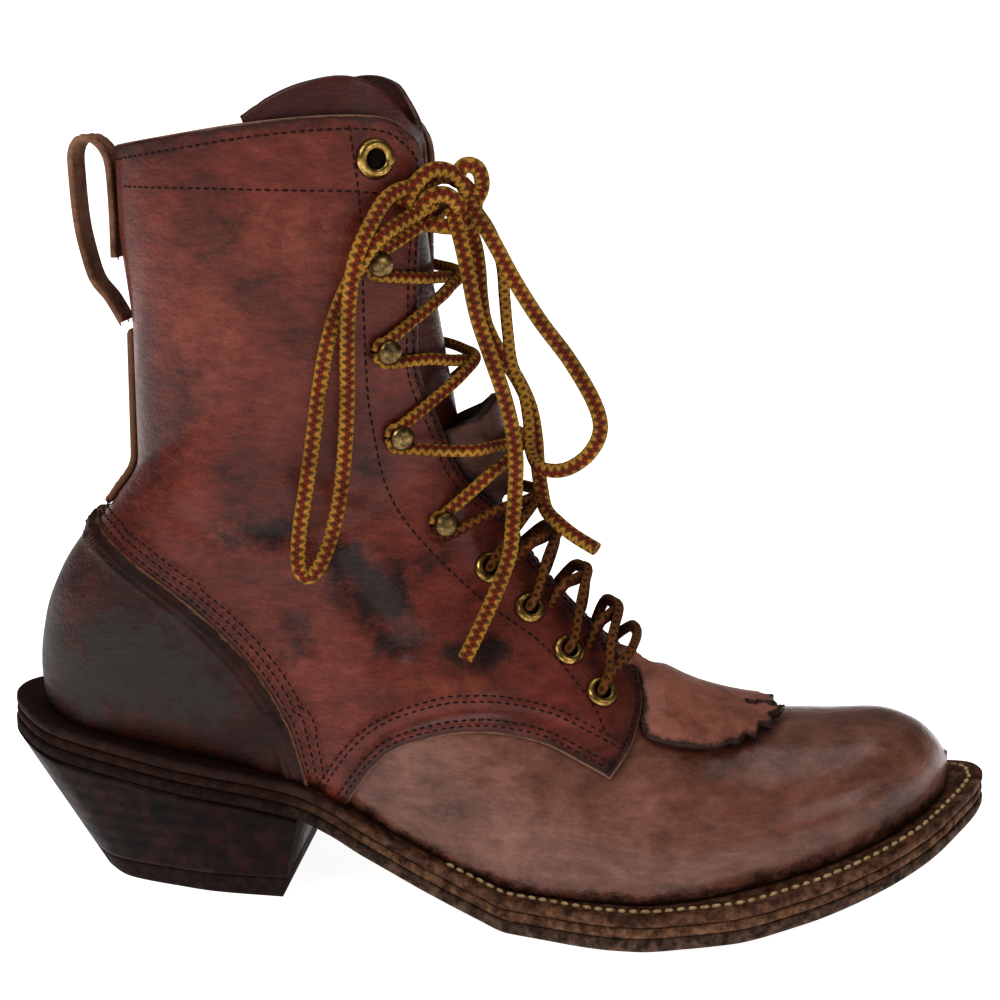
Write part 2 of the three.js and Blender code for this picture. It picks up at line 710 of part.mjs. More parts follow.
const holes = [];
const seats = {};
for (const side of [-1, 1]) {
  const sideName = side < 0 ? 'lateral' : 'medial';
  for (const { name, kind, at, rise } of fittings) {
    const spot = locate(fromSide([at, rise]), side, quarterOffset);
    const seat = skin(spot.row, spot.turn, quarterOffset);
    seats[`${name}_${sideName}`] = { ...spot, kind };
    if (kind === 'hook') {
      const atLift = (height) => makeHook(placeOn(seat, height));
      addPiece(`${name}_${sideName}`, seated(atLift, quarterShell, -wall, wall), 'antique');
      continue;
    }
    const place = placeOn(seat, seatClearance);
    const size = kind === 'topEyelet' ? topEyelet : eyelet;
    addPiece(`${name}_${sideName}`, makeEyelet(size, place), 'brass');
    const drill = (size.barrel + gap) / Math.cos(Math.PI / drillSides);
    const reach = 3 * wallDepth;
    holes.push(turned([[0, -reach], [drill, -reach], [drill, reach], [0, reach]], drillSides, place));
  }
}
const drilled = (solid) => holes.reduce((left, hole) => left.subtract(hole), solid);

addPiece('upper', drilled(upper), 'vamp');
for (const side of [-1, 1]) {
  const [from, to] = side < 0 ? [-ballWidth, -gap / 2] : [gap / 2, ballWidth];
  const half = drilled(quarterShell.intersect(sideCut(quarterSide, from, to)));
  addPiece(side < 0 ? 'quarter_lateral' : 'quarter_medial', half, 'quarter');
}

// Laces

const laceRadius = laceThickness / 2;
const strandPieces = 4;
const strandSides = 5;
const bowSides = 8;
const bowStep = 3 * laceThickness;

// Round tube along a smooth path.
function cordAlong(points, pieces, sides) {
  const section = new THREE.Shape(Array.from({ length: sides }, (_, corner) => {
    const angle = (2 * Math.PI * corner) / sides;
    return new THREE.Vector2(Math.cos(angle) * laceRadius, Math.sin(angle) * laceRadius);
  }));
  const extrudePath = new THREE.CatmullRomCurve3(points);
  return toSolid(new THREE.ExtrudeGeometry(section, { steps: pieces, extrudePath, bevelEnabled: false }));
}

const overFacing = quarterOffset + seatClearance + hook.plate + laceRadius;
const kiltieTop = fromSide(kiltieBack.at(-1)).y + laceThickness;
const overKiltieBy = 4 * gap;
const lift = { from: 0.13, over: 0.04 }; // turns from the throat's middle where a strand climbs the kiltie

// How far a strand stands off the form: it lies on the facings and climbs over the kiltie.
function strandHeight(row, turn) {
  const overKiltie = kiltieOuter(row) + overKiltieBy + laceRadius;
  if (skin(row, 0.5, overKiltie).point.z > kiltieTop) return overFacing;
  const climb = THREE.MathUtils.clamp((lift.from - Math.abs(turn - 0.5)) / lift.over, 0, 1);
  return overFacing + (overKiltie - overFacing) * climb;
}

// End of a strand beside a fitting, towards the throat and above or below the fitting's middle.
function beside({ row, turn, kind }, upward) {
  const inwards = Math.sign(0.5 - turn);
  const reach = kind === 'hook' ? hook.neck + gap : eyelet.outer / 2;
  const [rowMove, turnMove] = [0.1, 0.01];
  const here = skin(row, turn, overFacing).point;
  const perTurn = here.distanceTo(skin(row, turn + inwards * turnMove, overFacing).point) / turnMove;
  const perRow = here.distanceTo(skin(row + rowMove, turn, overFacing).point) / rowMove;
  return {
    row: row + (upward * (laceRadius + gap)) / perRow,
    turn: turn + (inwards * (reach + laceRadius + gap)) / perTurn,
  };
}

function strand(from, to) {
  const points = Array.from({ length: strandPieces + 1 }, (_, index) => {
    const share = index / strandPieces;
    const row = from.row + (to.row - from.row) * share;
    const turn = from.turn + (to.turn - from.turn) * share;
    return skin(row, turn, strandHeight(row, turn)).point;
  });
  return cordAlong(points, strandPieces, strandSides);
}

// A crossing is a strand each way between two rows of fittings, joined where they cross over the throat.
const laced = fittings.slice(1).map((fitting) => fitting.name);
laced.slice(0, -1).forEach((name, index) => {
  const below = laced[index + 1];
  const out = strand(beside(seats[`${name}_lateral`], -1), beside(seats[`${below}_medial`], 1));
  const back = strand(beside(seats[`${below}_lateral`], 1), beside(seats[`${name}_medial`], -1));
  addPiece(`lace_crossing_${index + 1}`, out.add(back), 'lace');
});

function laceBar(name, fitting, upward) {
  const [from, to] = ['lateral', 'medial'].map((sideName) => beside(seats[`${fitting}_${sideName}`], upward));
  addPiece(name, strand(from, to), 'lace');
}
laceBar('lace_bar_top', laced[0], 1);
laceBar('lace_bar_low', laced.at(-1), -1);

// Bow: routes of its two loops and its two ends, from the knot outwards, chosen by eye.
const knotMiddle = new THREE.Vector3(142.5, -11, 219.4);
const knotSize = new THREE.Vector3(7, 8, 6);
const bow = {
  lace_loop_lateral: [
    [135, -19, 225.4], [128.5, -28, 220], [123.5, -36, 212], [119.5, -40.5, 201], [117.5, -40, 188],
    [116.5, -37, 174], [116, -35, 160], [115.2, -35, 146], [113.8, -35.5, 132], [111, -36.5, 119],
    [107.5, -37.5, 110], [104, -38, 107], [101.5, -38.3, 111], [102, -38.3, 121], [104, -37.8, 134],
    [106, -37.2, 148], [107.8, -36.6, 162], [110.3, -36, 176], [114, -36, 188], [119, -36.5, 198],
    [126, -34.5, 208], [135.5, -23.5, 214.4],
  ],
  lace_loop_medial: [
    [150, -14.5, 217], [156, -17.5, 207], [163, -19, 195], [171, -20, 183], [180, -20.5, 171.5],
    [187.5, -20.5, 159], [189.5, -20.5, 150.5], [186, -20, 143], [179, -18.5, 138], [171.5, -14.5, 137.5],
    [167.8, -7.5, 141], [166.5, -3, 150], [164.5, -1, 159], [161, 0, 167], [159.5, 0, 177],
    [158.5, 0, 187], [157.5, -1, 198], [154, -2.5, 208], [150.5, -7.5, 216.4],
  ],
  lace_end_long: [
    [145, -19.5, 214], [148, -23, 205.5], [150.5, -24, 195], [153, -24.5, 184], [157, -24.5, 172.5],
    [160.5, -24, 162.5], [163, -23, 153], [164.5, -22, 143], [164.5, -22, 133], [164, -23.5, 123],
    [163.5, -25.5, 114], [161, -27.5, 105.5], [158, -30, 98], [154.5, -32.5, 90], [151, -34.5, 82.5],
  ],
  lace_end_short: [
    [145.5, -2.5, 212.5], [148.5, 1.5, 205], [150, 4, 196], [150.5, 6, 187], [152, 7, 178], [156.5, 7.5, 169],
    [162, 7.5, 161], [166, 7.5, 152.5], [168, 6.5, 143.5], [169, 4, 135], [170.5, -1, 128.5],
    [172.5, -6.5, 123], [176.5, -11, 120], [182, -15.5, 117], [189, -19.5, 114],
  ],
};

const knot = new THREE.SphereGeometry(1, 10, 7);
knot.scale(knotSize.x, knotSize.y, knotSize.z);
knot.translate(knotMiddle.x, knotMiddle.y, knotMiddle.z);
const knotSolid = toSolid(knot);
addPiece('lace_knot', knotSolid, 'lace');

// Place on the way from the knot's middle to a point, at a height above the knot's surface.
function offKnot(point, height) {
  const away = point.clone().sub(knotMiddle);
  const surface = away.length() / away.clone().divide(knotSize).length();
  return knotMiddle.clone().addScaledVector(away.normalize(), surface + height);
}

for (const [name, route] of Object.entries(bow)) {
  const points = route.map((place) => new THREE.Vector3(...place));
  const pieces = Math.round(new THREE.CatmullRomCurve3(points).getLength() / bowStep);
  const isLoop = name.startsWith('lace_loop');
  const atHeight = (height) => {
    const first = offKnot(points[0], height);
    const last = isLoop ? offKnot(points.at(-1), height) : points.at(-1);
    return cordAlong([first, ...points.slice(1, -1), last], pieces, bowSides);
  };
  addPiece(name, seated(atHeight, knotSolid, 0, laceThickness), 'lace');
}

// The origin is on the floor, under the middle of the sole's outline.
const outline = edgePoints(0);
const lateralMost = Math.min(...outline.map(({ lateral }) => lateral.y));
const medialMost = Math.max(...outline.map(({ medial }) => medial.y));
boot.position.set(-length / 2, -(lateralMost + medialMost) / 2, 0);

export default boot;
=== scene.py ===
import bmesh
import bpy
import math
import numpy as np
from mathutils import Matrix, Vector
from mathutils.geometry import delaunay_2d_cdt
from mathutils.kdtree import KDTree


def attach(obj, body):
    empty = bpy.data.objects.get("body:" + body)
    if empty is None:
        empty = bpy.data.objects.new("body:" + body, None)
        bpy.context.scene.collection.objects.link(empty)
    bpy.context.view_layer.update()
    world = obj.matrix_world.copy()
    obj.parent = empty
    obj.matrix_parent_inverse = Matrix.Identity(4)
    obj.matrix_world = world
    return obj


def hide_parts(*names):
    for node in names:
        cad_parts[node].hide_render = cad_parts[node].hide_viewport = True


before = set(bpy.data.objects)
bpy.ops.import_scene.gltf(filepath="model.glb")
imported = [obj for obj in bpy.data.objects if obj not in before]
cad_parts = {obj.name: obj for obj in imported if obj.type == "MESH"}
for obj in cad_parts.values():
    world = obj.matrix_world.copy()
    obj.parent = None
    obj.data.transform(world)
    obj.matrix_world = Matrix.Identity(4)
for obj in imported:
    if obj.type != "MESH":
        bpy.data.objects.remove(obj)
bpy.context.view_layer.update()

# All sizes are in millimetres of the boot's own frame: x from the heel ledge to the toe, z up,
# outer side towards -y. toRow turns points into metres of the row frame.
mm = 0.001
bootShift = np.array([-156.0, 0.7648280740703015, 0.0])


def toRow(points):
    return (np.asarray(points, float) + bootShift) * mm


def unit(vectors):
    return vectors / np.maximum(1e-9, np.linalg.norm(vectors, axis=-1, keepdims=True))


# Length run so far at each point of a line
def runAlong(points):
    return np.concatenate([[0], np.cumsum(np.linalg.norm(np.diff(points, axis=0), axis=1))])


def addMesh(name, points, faces, smooth=True, values=None, uv=None):
    mesh = bpy.data.meshes.new(name)
    mesh.from_pydata(toRow(points).tolist(), [], [tuple(int(i) for i in f) for f in faces])
    mesh.polygons.foreach_set("use_smooth", [smooth] * len(mesh.polygons))
    for key, data in (values or {}).items():
        layer = mesh.attributes.new(key, "FLOAT", "POINT")
        layer.data.foreach_set("value", np.asarray(data, float))
    if uv is not None:
        layer = mesh.uv_layers.new(name="along")
        corners = np.zeros(len(mesh.loops), int)
        mesh.loops.foreach_get("vertex_index", corners)
        flat = np.asarray(uv, float)[corners]
        for face in mesh.polygons:
            around = flat[face.loop_start:face.loop_start + face.loop_total, 0]
            if len(around) == 4 and around.max() - around.min() > 0.5:
                around[around < 0.5] += 1
        layer.data.foreach_set("uv", flat.ravel())
    mesh.update()
    return addObject(name, mesh)


def addObject(name, data):
    item = bpy.data.objects.new(name, data)
    bpy.context.scene.collection.objects.link(item)
    return item


def treeOf(points):
    tree = KDTree(len(points))
    for k, point in enumerate(points):
        tree.insert(point, k)
    tree.balance()
    return tree


# Quads between neighbouring rings of corners; a closed row of rings joins its last one to the first
def ringFaces(count, corners, closed=False):
    faces = []
    for i in range(count if closed else count - 1):
        j = (i + 1) % count
        for k in range(corners):
            n = (k + 1) % corners
            faces.append((i * corners + k, i * corners + n, j * corners + n, j * corners + k))
    return faces


def mend(mesh, merge, close=False, outward=False):
    bm = bmesh.new()
    bm.from_mesh(mesh)
    bmesh.ops.remove_doubles(bm, verts=bm.verts, dist=merge)
    if close:
        bmesh.ops.holes_fill(bm, edges=bm.edges, sides=0)
    if outward:
        bmesh.ops.recalc_face_normals(bm, faces=bm.faces)
    bm.to_mesh(mesh)
    bm.free()


# Camera, solved from the photo: 6 degrees towards the toe, 12 above, 600 mm from its target
view = {"azimuth": 6, "elevation": 12, "distance": 600, "focal": 1925.44, "roll": 0.5,
        "target": (156, 0, 130), "middle": (494.9, 480.7), "sensor": 36, "pixels": 1000}


def makeCamera():
    az, el, roll = (math.radians(view[k]) for k in ("azimuth", "elevation", "roll"))
    back = Vector((math.sin(az) * math.cos(el), -math.cos(az) * math.cos(el), math.sin(el)))
    right = Vector((math.cos(az), math.sin(az), 0))
    up = back.cross(right)
    right, up = (right * math.cos(roll) + up * math.sin(roll),
                 up * math.cos(roll) - right * math.sin(roll))
    data = bpy.data.cameras.new("camera")
    data.sensor_width = view["sensor"]
    data.lens = view["focal"] * view["sensor"] / view["pixels"]
    data.shift_x = 0.5 - view["middle"][0] / view["pixels"]
    data.shift_y = view["middle"][1] / view["pixels"] - 0.5
    camera = addObject("camera", data)
    place = Vector(toRow(view["target"])) + back * view["distance"] * mm
    camera.matrix_world = Matrix.Translation(place) @ Matrix((right, up, back)).transposed().to_4x4()
    bpy.context.scene.camera = camera


makeCamera()


def finishPiece(piece, material, slot, *nodes):
    piece.data.materials.clear()
    piece.data.materials.append(material)
    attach(piece, "root")
    if nodes:
        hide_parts(*nodes)


# Materials

def linear(hexCode):
    channels = [int(hexCode[i:i + 2], 16) / 255 for i in (1, 3, 5)]
    return [c / 12.92 if c <= 0.04045 else ((c + 0.055) / 1.055) ** 2.4 for c in channels] + [1]


def addNode(tree, kind, inputs=None, stops=None, **settings):
    node = tree.nodes.new(kind)
    for key, value in settings.items():
        setattr(node, key, value)
    for key, value in (inputs or {}).items():
        socket = node.inputs[key]
        if isinstance(value, bpy.types.NodeSocket):
            tree.links.new(value, socket)
        else:
            socket.default_value = value
    if stops:
        ramp = node.color_ramp.elements
        while len(ramp) < len(stops):
            ramp.new(0.5)
        for element, (at, color) in zip(ramp, stops):
            element.position = at
            element.color = linear(color) if isinstance(color, str) else (color, color, color, 1)
    return node


def combine(tree, operation, *values, clamp=False):
    return addNode(tree, "ShaderNodeMath", dict(enumerate(values)), operation=operation,
                   use_clamp=clamp).outputs[0]


def ranged(tree, value, fromEnds, toEnds, **settings):
    inputs = {"Value": value, "From Min": fromEnds[0], "From Max": fromEnds[1],
              "To Min": toEnds[0], "To Max": toEnds[1]}
    return addNode(tree, "ShaderNodeMapRange", inputs, **settings).outputs[0]


def blend(tree, share, first, second):
    return addNode(tree, "ShaderNodeMix", {"Factor": share, 6: first, 7: linear(second)},
                   data_type="RGBA").outputs[2]


def noise(tree, place, scale, detail, rough=0.5, bent=0.0):
    inputs = {"Vector": place, "Scale": scale, "Detail": detail, "Roughness": rough, "Distortion": bent}
    return addNode(tree, "ShaderNodeTexNoise", inputs).outputs[0]


def newMaterial(name):
    material = bpy.data.materials.new(name)
    material.use_nodes = True
    tree = material.node_tree
    shader = tree.nodes["Principled BSDF"]
    return material, tree, shader


# Marks on leather: the attribute that carries each, its colour and how strongly it covers
# pale also carries the painted highlight along the top of the toe
marks = [("scuff", "#332c29", 0.95), ("stain", "#160c0a", 0.9), ("pale", "#8c4a33", 0.7),
         # seam darkens panel edges, and on the kiltie it carries painted shade under the laces
         ("seam", "#241009", 0.75), ("raw", "#86604a", 0.9)]
toneStops = (0.36, 0.5, 0.66)
sheen = {"duller": 0.1, "brighter": 0.08, "leather": 0.26, "coat": 0.22, "lace": 0.2}


def toned(tree, value, deep, base, pale):
    stops = list(zip(toneStops, (deep, base, pale)))
    return addNode(tree, "ShaderNodeValToRGB", {"Fac": value}, stops=stops).outputs[0]


def roughened(tree, shader, value, rough):
    dull = ranged(tree, value, (0.3, 0.7), (rough + sheen["duller"], rough - sheen["brighter"]))
    tree.links.new(dull, shader.inputs["Roughness"])


def embossed(tree, shader, height, strength, depth):
    bump = addNode(tree, "ShaderNodeBump", {"Height": height, "Strength": strength, "Distance": depth})
    tree.links.new(bump.outputs[0], shader.inputs["Normal"])


# Oiled full-grain leather: colour drifts in clouds, fine pores, dull scuffs, dark oil stains; the scales
# are per metre, the share is the clouds' part of the tone
hide = {"cloud": 34, "fleck": 210, "rag": 120, "pore": 900, "fold": 260, "share": 0.62, "ragged": 2.4,
        "soften": (0.25, 0.75), "poreShare": 0.25, "depth": 0.0011}


def leather(name, base, deep, pale, rough=0.42, coat=0.15, grain=0.5):
    material, tree, shader = newMaterial(name)
    place = addNode(tree, "ShaderNodeTexCoord").outputs["Object"]
    cloud = noise(tree, place, hide["cloud"], 9, 0.68, 0.4)
    streak = addNode(tree, "ShaderNodeMapping", {"Vector": place, "Scale": (0.6, 0.6, 1.5),
                                                 "Rotation": (0, 0.35, 0)}).outputs[0]
    fleck = noise(tree, streak, hide["fleck"], 6, 0.7)
    mixed = combine(tree, "MULTIPLY", cloud, hide["share"])
    mixed = combine(tree, "MULTIPLY_ADD", fleck, 1 - hide["share"], mixed)
    color = toned(tree, mixed, deep, base, pale)
    rag = noise(tree, place, hide["rag"], 9, 0.75)
    ragged = combine(tree, "MULTIPLY_ADD", rag, hide["ragged"], -hide["ragged"] / 2)
    for key, shade, cover in marks:
        amount = addNode(tree, "ShaderNodeAttribute", attribute_name=key).outputs["Fac"]
        limited = ranged(tree, combine(tree, "ADD", ragged, amount), hide["soften"], (0, 1))
        least = combine(tree, "MULTIPLY", amount, 3.0, clamp=True)
        share = combine(tree, "MULTIPLY", combine(tree, "MULTIPLY", limited, least), cover, clamp=True)
        color = blend(tree, share, color, shade)
    tree.links.new(color, shader.inputs["Base Color"])
    roughened(tree, shader, mixed, rough)
    shader.inputs["Specular IOR Level"].default_value = sheen["leather"]
    shader.inputs["Coat Weight"].default_value = coat
    shader.inputs["Coat Roughness"].default_value = sheen["coat"]
    pore = addNode(tree, "ShaderNodeTexVoronoi", {"Vector": place, "Scale": hide["pore"]}, feature="F1")
    fold = noise(tree, streak, hide["fold"], 8, 0.66, 0.6)
    relief = combine(tree, "MULTIPLY_ADD", pore.outputs["Distance"], hide["poreShare"], fold)
    embossed(tree, shader, relief, grain, hide["depth"])
    return material


# Plain finish with cloudy colour and fine relief, for metal, thread, rubber and edges; heelDark is the
# colour that the sole's edge darkens to from waist to heel, layers the height of a heel layer in mm
def plain(name, base, deep, pale, rough, metal=0, scale=300, relief=0.3, depth=0.0003, layers=0,
          gloss=0.2, heelDark=None):
    material, tree, shader = newMaterial(name)
    place = addNode(tree, "ShaderNodeTexCoord").outputs["Object"]
    cloud = noise(tree, place, scale, 7, 0.68)
    color = toned(tree, cloud, deep, base, pale)
    if heelDark:
        run = addNode(tree, "ShaderNodeSeparateXYZ", {0: place}).outputs[0]
        color = blend(tree, ranged(tree, run, (-0.062, -0.02), (0.9, 0.0)), color, heelDark)
    tree.links.new(color, shader.inputs["Base Color"])
    shader.inputs["Metallic"].default_value = metal
    shader.inputs["Specular IOR Level"].default_value = 0.5 if metal else gloss
    roughened(tree, shader, cloud, rough)
    height = cloud
    if layers:
        inputs = {"Vector": place, "Scale": 2 * math.pi / (20 * layers * mm), "Distortion": 0.4, "Detail": 3}
        bands = addNode(tree, "ShaderNodeTexWave", inputs, bands_direction="Z")
        height = combine(tree, "MULTIPLY_ADD", bands.outputs[1], 1.6, height)
    embossed(tree, shader, height, relief, depth)
    return material


# Braided lace: red-brown core strands between gold edge strands with painted shade in the grooves, its UV
# runs round and along in mm
plait = {"length": 2.6, "strands": 3}


def braid(name, core, edge, dark):
    material, tree, shader = newMaterial(name)
    along = addNode(tree, "ShaderNodeUVMap", uv_map="along")
    split = addNode(tree, "ShaderNodeSeparateXYZ", {0: along.outputs[0]}).outputs
    turn = combine(tree, "MULTIPLY", split[0], 2 * math.pi)
    across = combine(tree, "ABSOLUTE", combine(tree, "COSINE", turn))
    waves = []
    for way in (plait["strands"], -plait["strands"]):
        wound = combine(tree, "MULTIPLY", split[0], way)
        phase = combine(tree, "MULTIPLY_ADD", split[1], 1 / plait["length"], wound)
        waves.append(combine(tree, "SINE", combine(tree, "MULTIPLY", phase, 2 * math.pi)))
    high = combine(tree, "MAXIMUM", *waves)
    shifted = combine(tree, "MULTIPLY_ADD", combine(tree, "MULTIPLY", *waves), 0.2, across)
    tone = addNode(tree, "ShaderNodeValToRGB", {"Fac": shifted}, stops=[(0.3, core), (0.55, edge)])
    # painted shade: the grooves between the strands darken towards dark, the lower the braid the darker; the
    # clouds after it are dirt
    color = blend(tree, ranged(tree, high, (-0.6, 0.5), (0.75, 0.0)), tone.outputs[0], dark)
    place = addNode(tree, "ShaderNodeTexCoord").outputs["Object"]
    cloud = noise(tree, place, 90, 5)
    color = blend(tree, ranged(tree, cloud, (0.45, 0.75), (0.0, 0.55)), color, dark)
    tree.links.new(color, shader.inputs["Base Color"])
    shader.inputs["Roughness"].default_value = 0.85
    shader.inputs["Specular IOR Level"].default_value = sheen["lace"]
    embossed(tree, shader, high, 0.8, 0.0005)
    return material


finish = {
    # warm brown lifted paler and greyer all over as painted sheen, with a wet highlight along the toe
    "vamp": leather("oiled vamp leather with painted sheen", "#764a3b", "#4a2a1e", "#99695a", rough=0.3, coat=0.55),
    # redder mahogany of the shaft, smudged dark
    "quarter": leather("oiled quarter leather", "#662a1e", "#3c160d", "#863f30", rough=0.36, coat=0.22),
    # the darkest leather, rubbed grey at the heel
    "counter": leather("scuffed counter leather", "#331209", "#1d0904", "#522416", rough=0.5, coat=0.05),
    # near black-red inside the collar
    "tongue": leather("smooth tongue leather", "#4a1d17", "#2f0f0b", "#662c22", rough=0.34, coat=0.3),
    # paler and drier than the vamp under it
    "kiltie": leather("dry kiltie leather", "#9c6350", "#693e30", "#b67b67", rough=0.48, coat=0.1),
    # matt flesh side of the loop and backstay
    "strap": leather("roughout strap", "#855f4a", "#58402f", "#ab8269", rough=0.9, coat=0, grain=0.9),
    # three edges of the sole, tan and crumbling in front and dark at the heel
    "welt": plain("waxed welt leather", "#583a2a", "#301b12", "#7d5a43", 0.7, scale=260, relief=0.9,
                  heelDark="#24110c"),
    "midsole": plain("ribbed edge leather", "#664735", "#3a261b", "#8d6b4f", 0.85, scale=300, relief=1,
                     heelDark="#200d09"),
    "outsole": plain("worn rubber sole", "#4a382d", "#271b15", "#72594a", 0.85, scale=300, relief=0.9,
                     heelDark="#1c0c09"),
    # nearly black maroon with faint layers
    "heel": plain("stained stacked leather", "#1b0a08", "#0d0504", "#34150f", 0.5, scale=120, relief=0.25,
                  layers=5.2, gloss=0.12),
    # light bare floor seen down the shaft
    "insole": plain("bare insole leather", "#8d6a4c", "#6d4f38", "#a6835f", 0.85, scale=200),
    # the bright points of the boot: worn brass rings, darker domes, black plates under them
    "brass": plain("polished brass eyelet", "#9c7e47", "#6e5630", "#c9aa68", 0.28, metal=1, scale=500,
                   relief=0.1),
    "antique": plain("antique brass hook", "#7a6645", "#3f3527", "#a78b5d", 0.35, metal=1, scale=420,
                     relief=0.2),
    "iron": plain("blackened steel plate", "#1d1a17", "#0f0d0c", "#322c27", 0.5, metal=1, scale=420,
                  relief=0.2),
    # painted shade: a near-black disc set in each eyelet stands in for the shade down its hole
    "bore": plain("shadowed bore", "#120a07", "#0a0504", "#1d110c", 0.9, scale=420, relief=0.1),
    # seams that all but vanish in the leather, and the cream row on the welt that stands out
    "thread": plain("dark waxed thread", "#2a120d", "#190a07", "#451f18", 0.6, scale=900),
    "paleThread": plain("cream waxed thread", "#c2a67c", "#8f7650", "#dcc69c", 0.7, scale=900),
    # fresh gold and red in the bow, dirtier where the lace is rubbed lower down
    "lace": braid("braided boot lace", "#7c3320", "#b5843a", "#24130b"),
    "lowLace": braid("worn dark lace", "#5a2317", "#75481f", "#190d08"),
}
print("materials", len(finish))


# Laces: flat-round braid swept along a line
laceSizes = {"width": 4.6, "height": 3.6}
bow = {
    "lace_loop_lateral": [
        [135, -19, 225.4], [128.5, -28, 220], [123.5, -36, 212], [119.5, -40.5, 201], [117.5, -40, 188],
        [116.5, -37, 174], [116, -35, 160], [115.2, -35, 146], [113.8, -35.5, 132], [111, -36.5, 119],
        [107.5, -37.5, 110], [104, -38, 107], [101.5, -38.3, 111], [102, -38.3, 121], [104, -37.8, 134],
        [106, -37.2, 148], [107.8, -36.6, 162], [110.3, -36, 176], [114, -36, 188], [119, -36.5, 198],
        [126, -34.5, 208], [135.5, -23.5, 214.4]],
    "lace_loop_medial": [
        [150, -14.5, 217], [156, -17.5, 207], [163, -19, 195], [171, -20, 183], [180, -20.5, 171.5],
        [187.5, -20.5, 159], [189.5, -20.5, 150.5], [186, -20, 143], [179, -18.5, 138], [171.5, -14.5, 137.5],
        [167.8, -7.5, 141], [166.5, -3, 150], [164.5, -1, 159], [161, 0, 167], [159.5, 0, 177],
        [158.5, 0, 187], [157.5, -1, 198], [154, -2.5, 208], [150.5, -7.5, 216.4]],
    "lace_end_long": [
        [145, -19.5, 214], [148, -23, 205.5], [150.5, -24, 195], [153, -24.5, 184], [157, -24.5, 172.5],
        [160.5, -24, 162.5], [163, -23, 153], [164.5, -22, 143], [164.5, -22, 133], [164, -23.5, 123],
        [163.5, -25.5, 114], [161, -27.5, 105.5], [158, -30, 98], [154.5, -32.5, 90], [151, -34.5, 82.5]],
    "lace_end_short": [
        [145.5, -2.5, 212.5], [148.5, 1.5, 205], [150, 4, 196], [150.5, 6, 187], [152, 7, 178],
        [156.5, 7.5, 169], [162, 7.5, 161], [166, 7.5, 152.5], [168, 6.5, 143.5], [169, 4, 135],
        [170.5, -1, 128.5], [172.5, -6.5, 123], [176.5, -11, 120], [182, -15.5, 117], [189, -19.5, 114]],
}
knotPlace = {"middle": np.array([142.5, -11, 219.4]), "size": np.array([7.0, 8, 6]), "sunk": 0.98}


def resample(points, spacing):
    run = runAlong(points)
    count = max(2, int(round(run[-1] / spacing)) + 1)
    return np.stack([np.interp(np.linspace(0, run[-1], count), run, column) for column in points.T], 1)


# Smooth line through all points of padded but its ends, which only steer it
def splined(padded, spacing, density):
    count = len(padded) - 2
    t = np.linspace(0, count - 1 - 1e-9, density * count)
    i = np.floor(t).astype(int)
    f = (t - i)[:, None]
    a, b, c, d = (padded[i + k] for k in range(4))
    cubic = 2 * a - 5 * b + 4 * c - d + f * (3 * (b - c) + d - a)
    return resample(b + 0.5 * f * (c - a + f * cubic), spacing)


def catmull(points, spacing):
    knots = np.asarray(points, float)
    return splined(np.vstack([2 * knots[0] - knots[1], knots, 2 * knots[-1] - knots[-2]]), spacing, 30)


def sweep(name, line, width, height, up=None, sides=14, power=1.0):
    tangent = unit(np.gradient(line, axis=0))
    normal = np.zeros_like(line)
    last = np.array(up if up is not None else (0, -1, 0.2), float)
    for i, t in enumerate(tangent):
        last = last - t * np.dot(last, t)
        last /= np.linalg.norm(last)
        normal[i] = last
    side = np.cross(tangent, normal)
    run = runAlong(line)
    count = len(line)
    points, uv = [], []
    for i in range(count):
        for k in range(sides):
            angle = 2 * math.pi * k / sides
            across, out = math.cos(angle), math.sin(angle)
            across, out = (math.copysign(abs(c) ** power, c) for c in (across, out))
            points.append(line[i] + side[i] * across * width / 2 + normal[i] * out * height / 2)
            uv.append((k / sides, run[i]))
    ends = [tuple(range(sides))[::-1], tuple((count - 1) * sides + k for k in range(sides))]
    faces = ringFaces(count, sides) + ends
    return addMesh(name, points, faces, uv=uv), run[-1]


def offKnot(point):
    away = np.asarray(point, float) - knotPlace["middle"]
    reach = 1 / np.linalg.norm(away / knotPlace["size"])
    return knotPlace["middle"] + away * (reach * knotPlace["sunk"])


for cordName, route in bow.items():
    route = [offKnot(route[0])] + route[1:]
    if "loop" in cordName:
        route[-1] = offKnot(route[-1])
    centre = catmull(route, 1.2)
    cordPiece, cordLength = sweep(cordName + "_braid", centre, laceSizes["width"], laceSizes["height"])
    finishPiece(cordPiece, finish["lace"], "lace", cordName)
    toRow(centre[0])
    "knot" if "loop" in cordName else "bare"
    toRow(centre).tolist()
    print(cordName, round(cordLength, 1))


# Form of the upper: the same sections as in the part's source

boot = {"length": 312, "ballWidth": 108, "heelRise": 46, "toeSpring": 28, "legHeight": 230}
soleSizes = {"outsole": 4.2, "midsole": 3, "welt": 3.4, "gap": 0.3}
treadAt = 0.625 * boot["length"]
tuck = 10
offsets = {"wall": 1.8, "quarter": 2.1, "counter": 3.4, "kiltie": 2.4}


def smoothCurve(xs, ys):
    xs, ys = np.array(xs, float), np.array(ys, float)
    rise = np.diff(ys) / np.diff(xs)
    slope = np.concatenate([rise[:1], np.zeros(len(xs) - 2), rise[-1:]])
    product = rise[:-1] * rise[1:]
    total = np.where(product > 0, rise[:-1] + rise[1:], 1)
    slope[1:-1] = np.where(product > 0, 2 * product / total, 0)

    def at(x):
        x = np.asarray(x, float)
        i = np.clip(np.searchsorted(xs, x, side="right") - 1, 0, len(xs) - 2)
        span = xs[i + 1] - xs[i]
        t = np.clip((x - xs[i]) / span, 0, 1)
        ends = ys[i] * (1 + 2 * t) * (1 - t) ** 2 + ys[i + 1] * t * t * (3 - 2 * t)
        return ends + span * (slope[i] * t * (1 - t) ** 2 - slope[i + 1] * t * t * (1 - t))
    return at


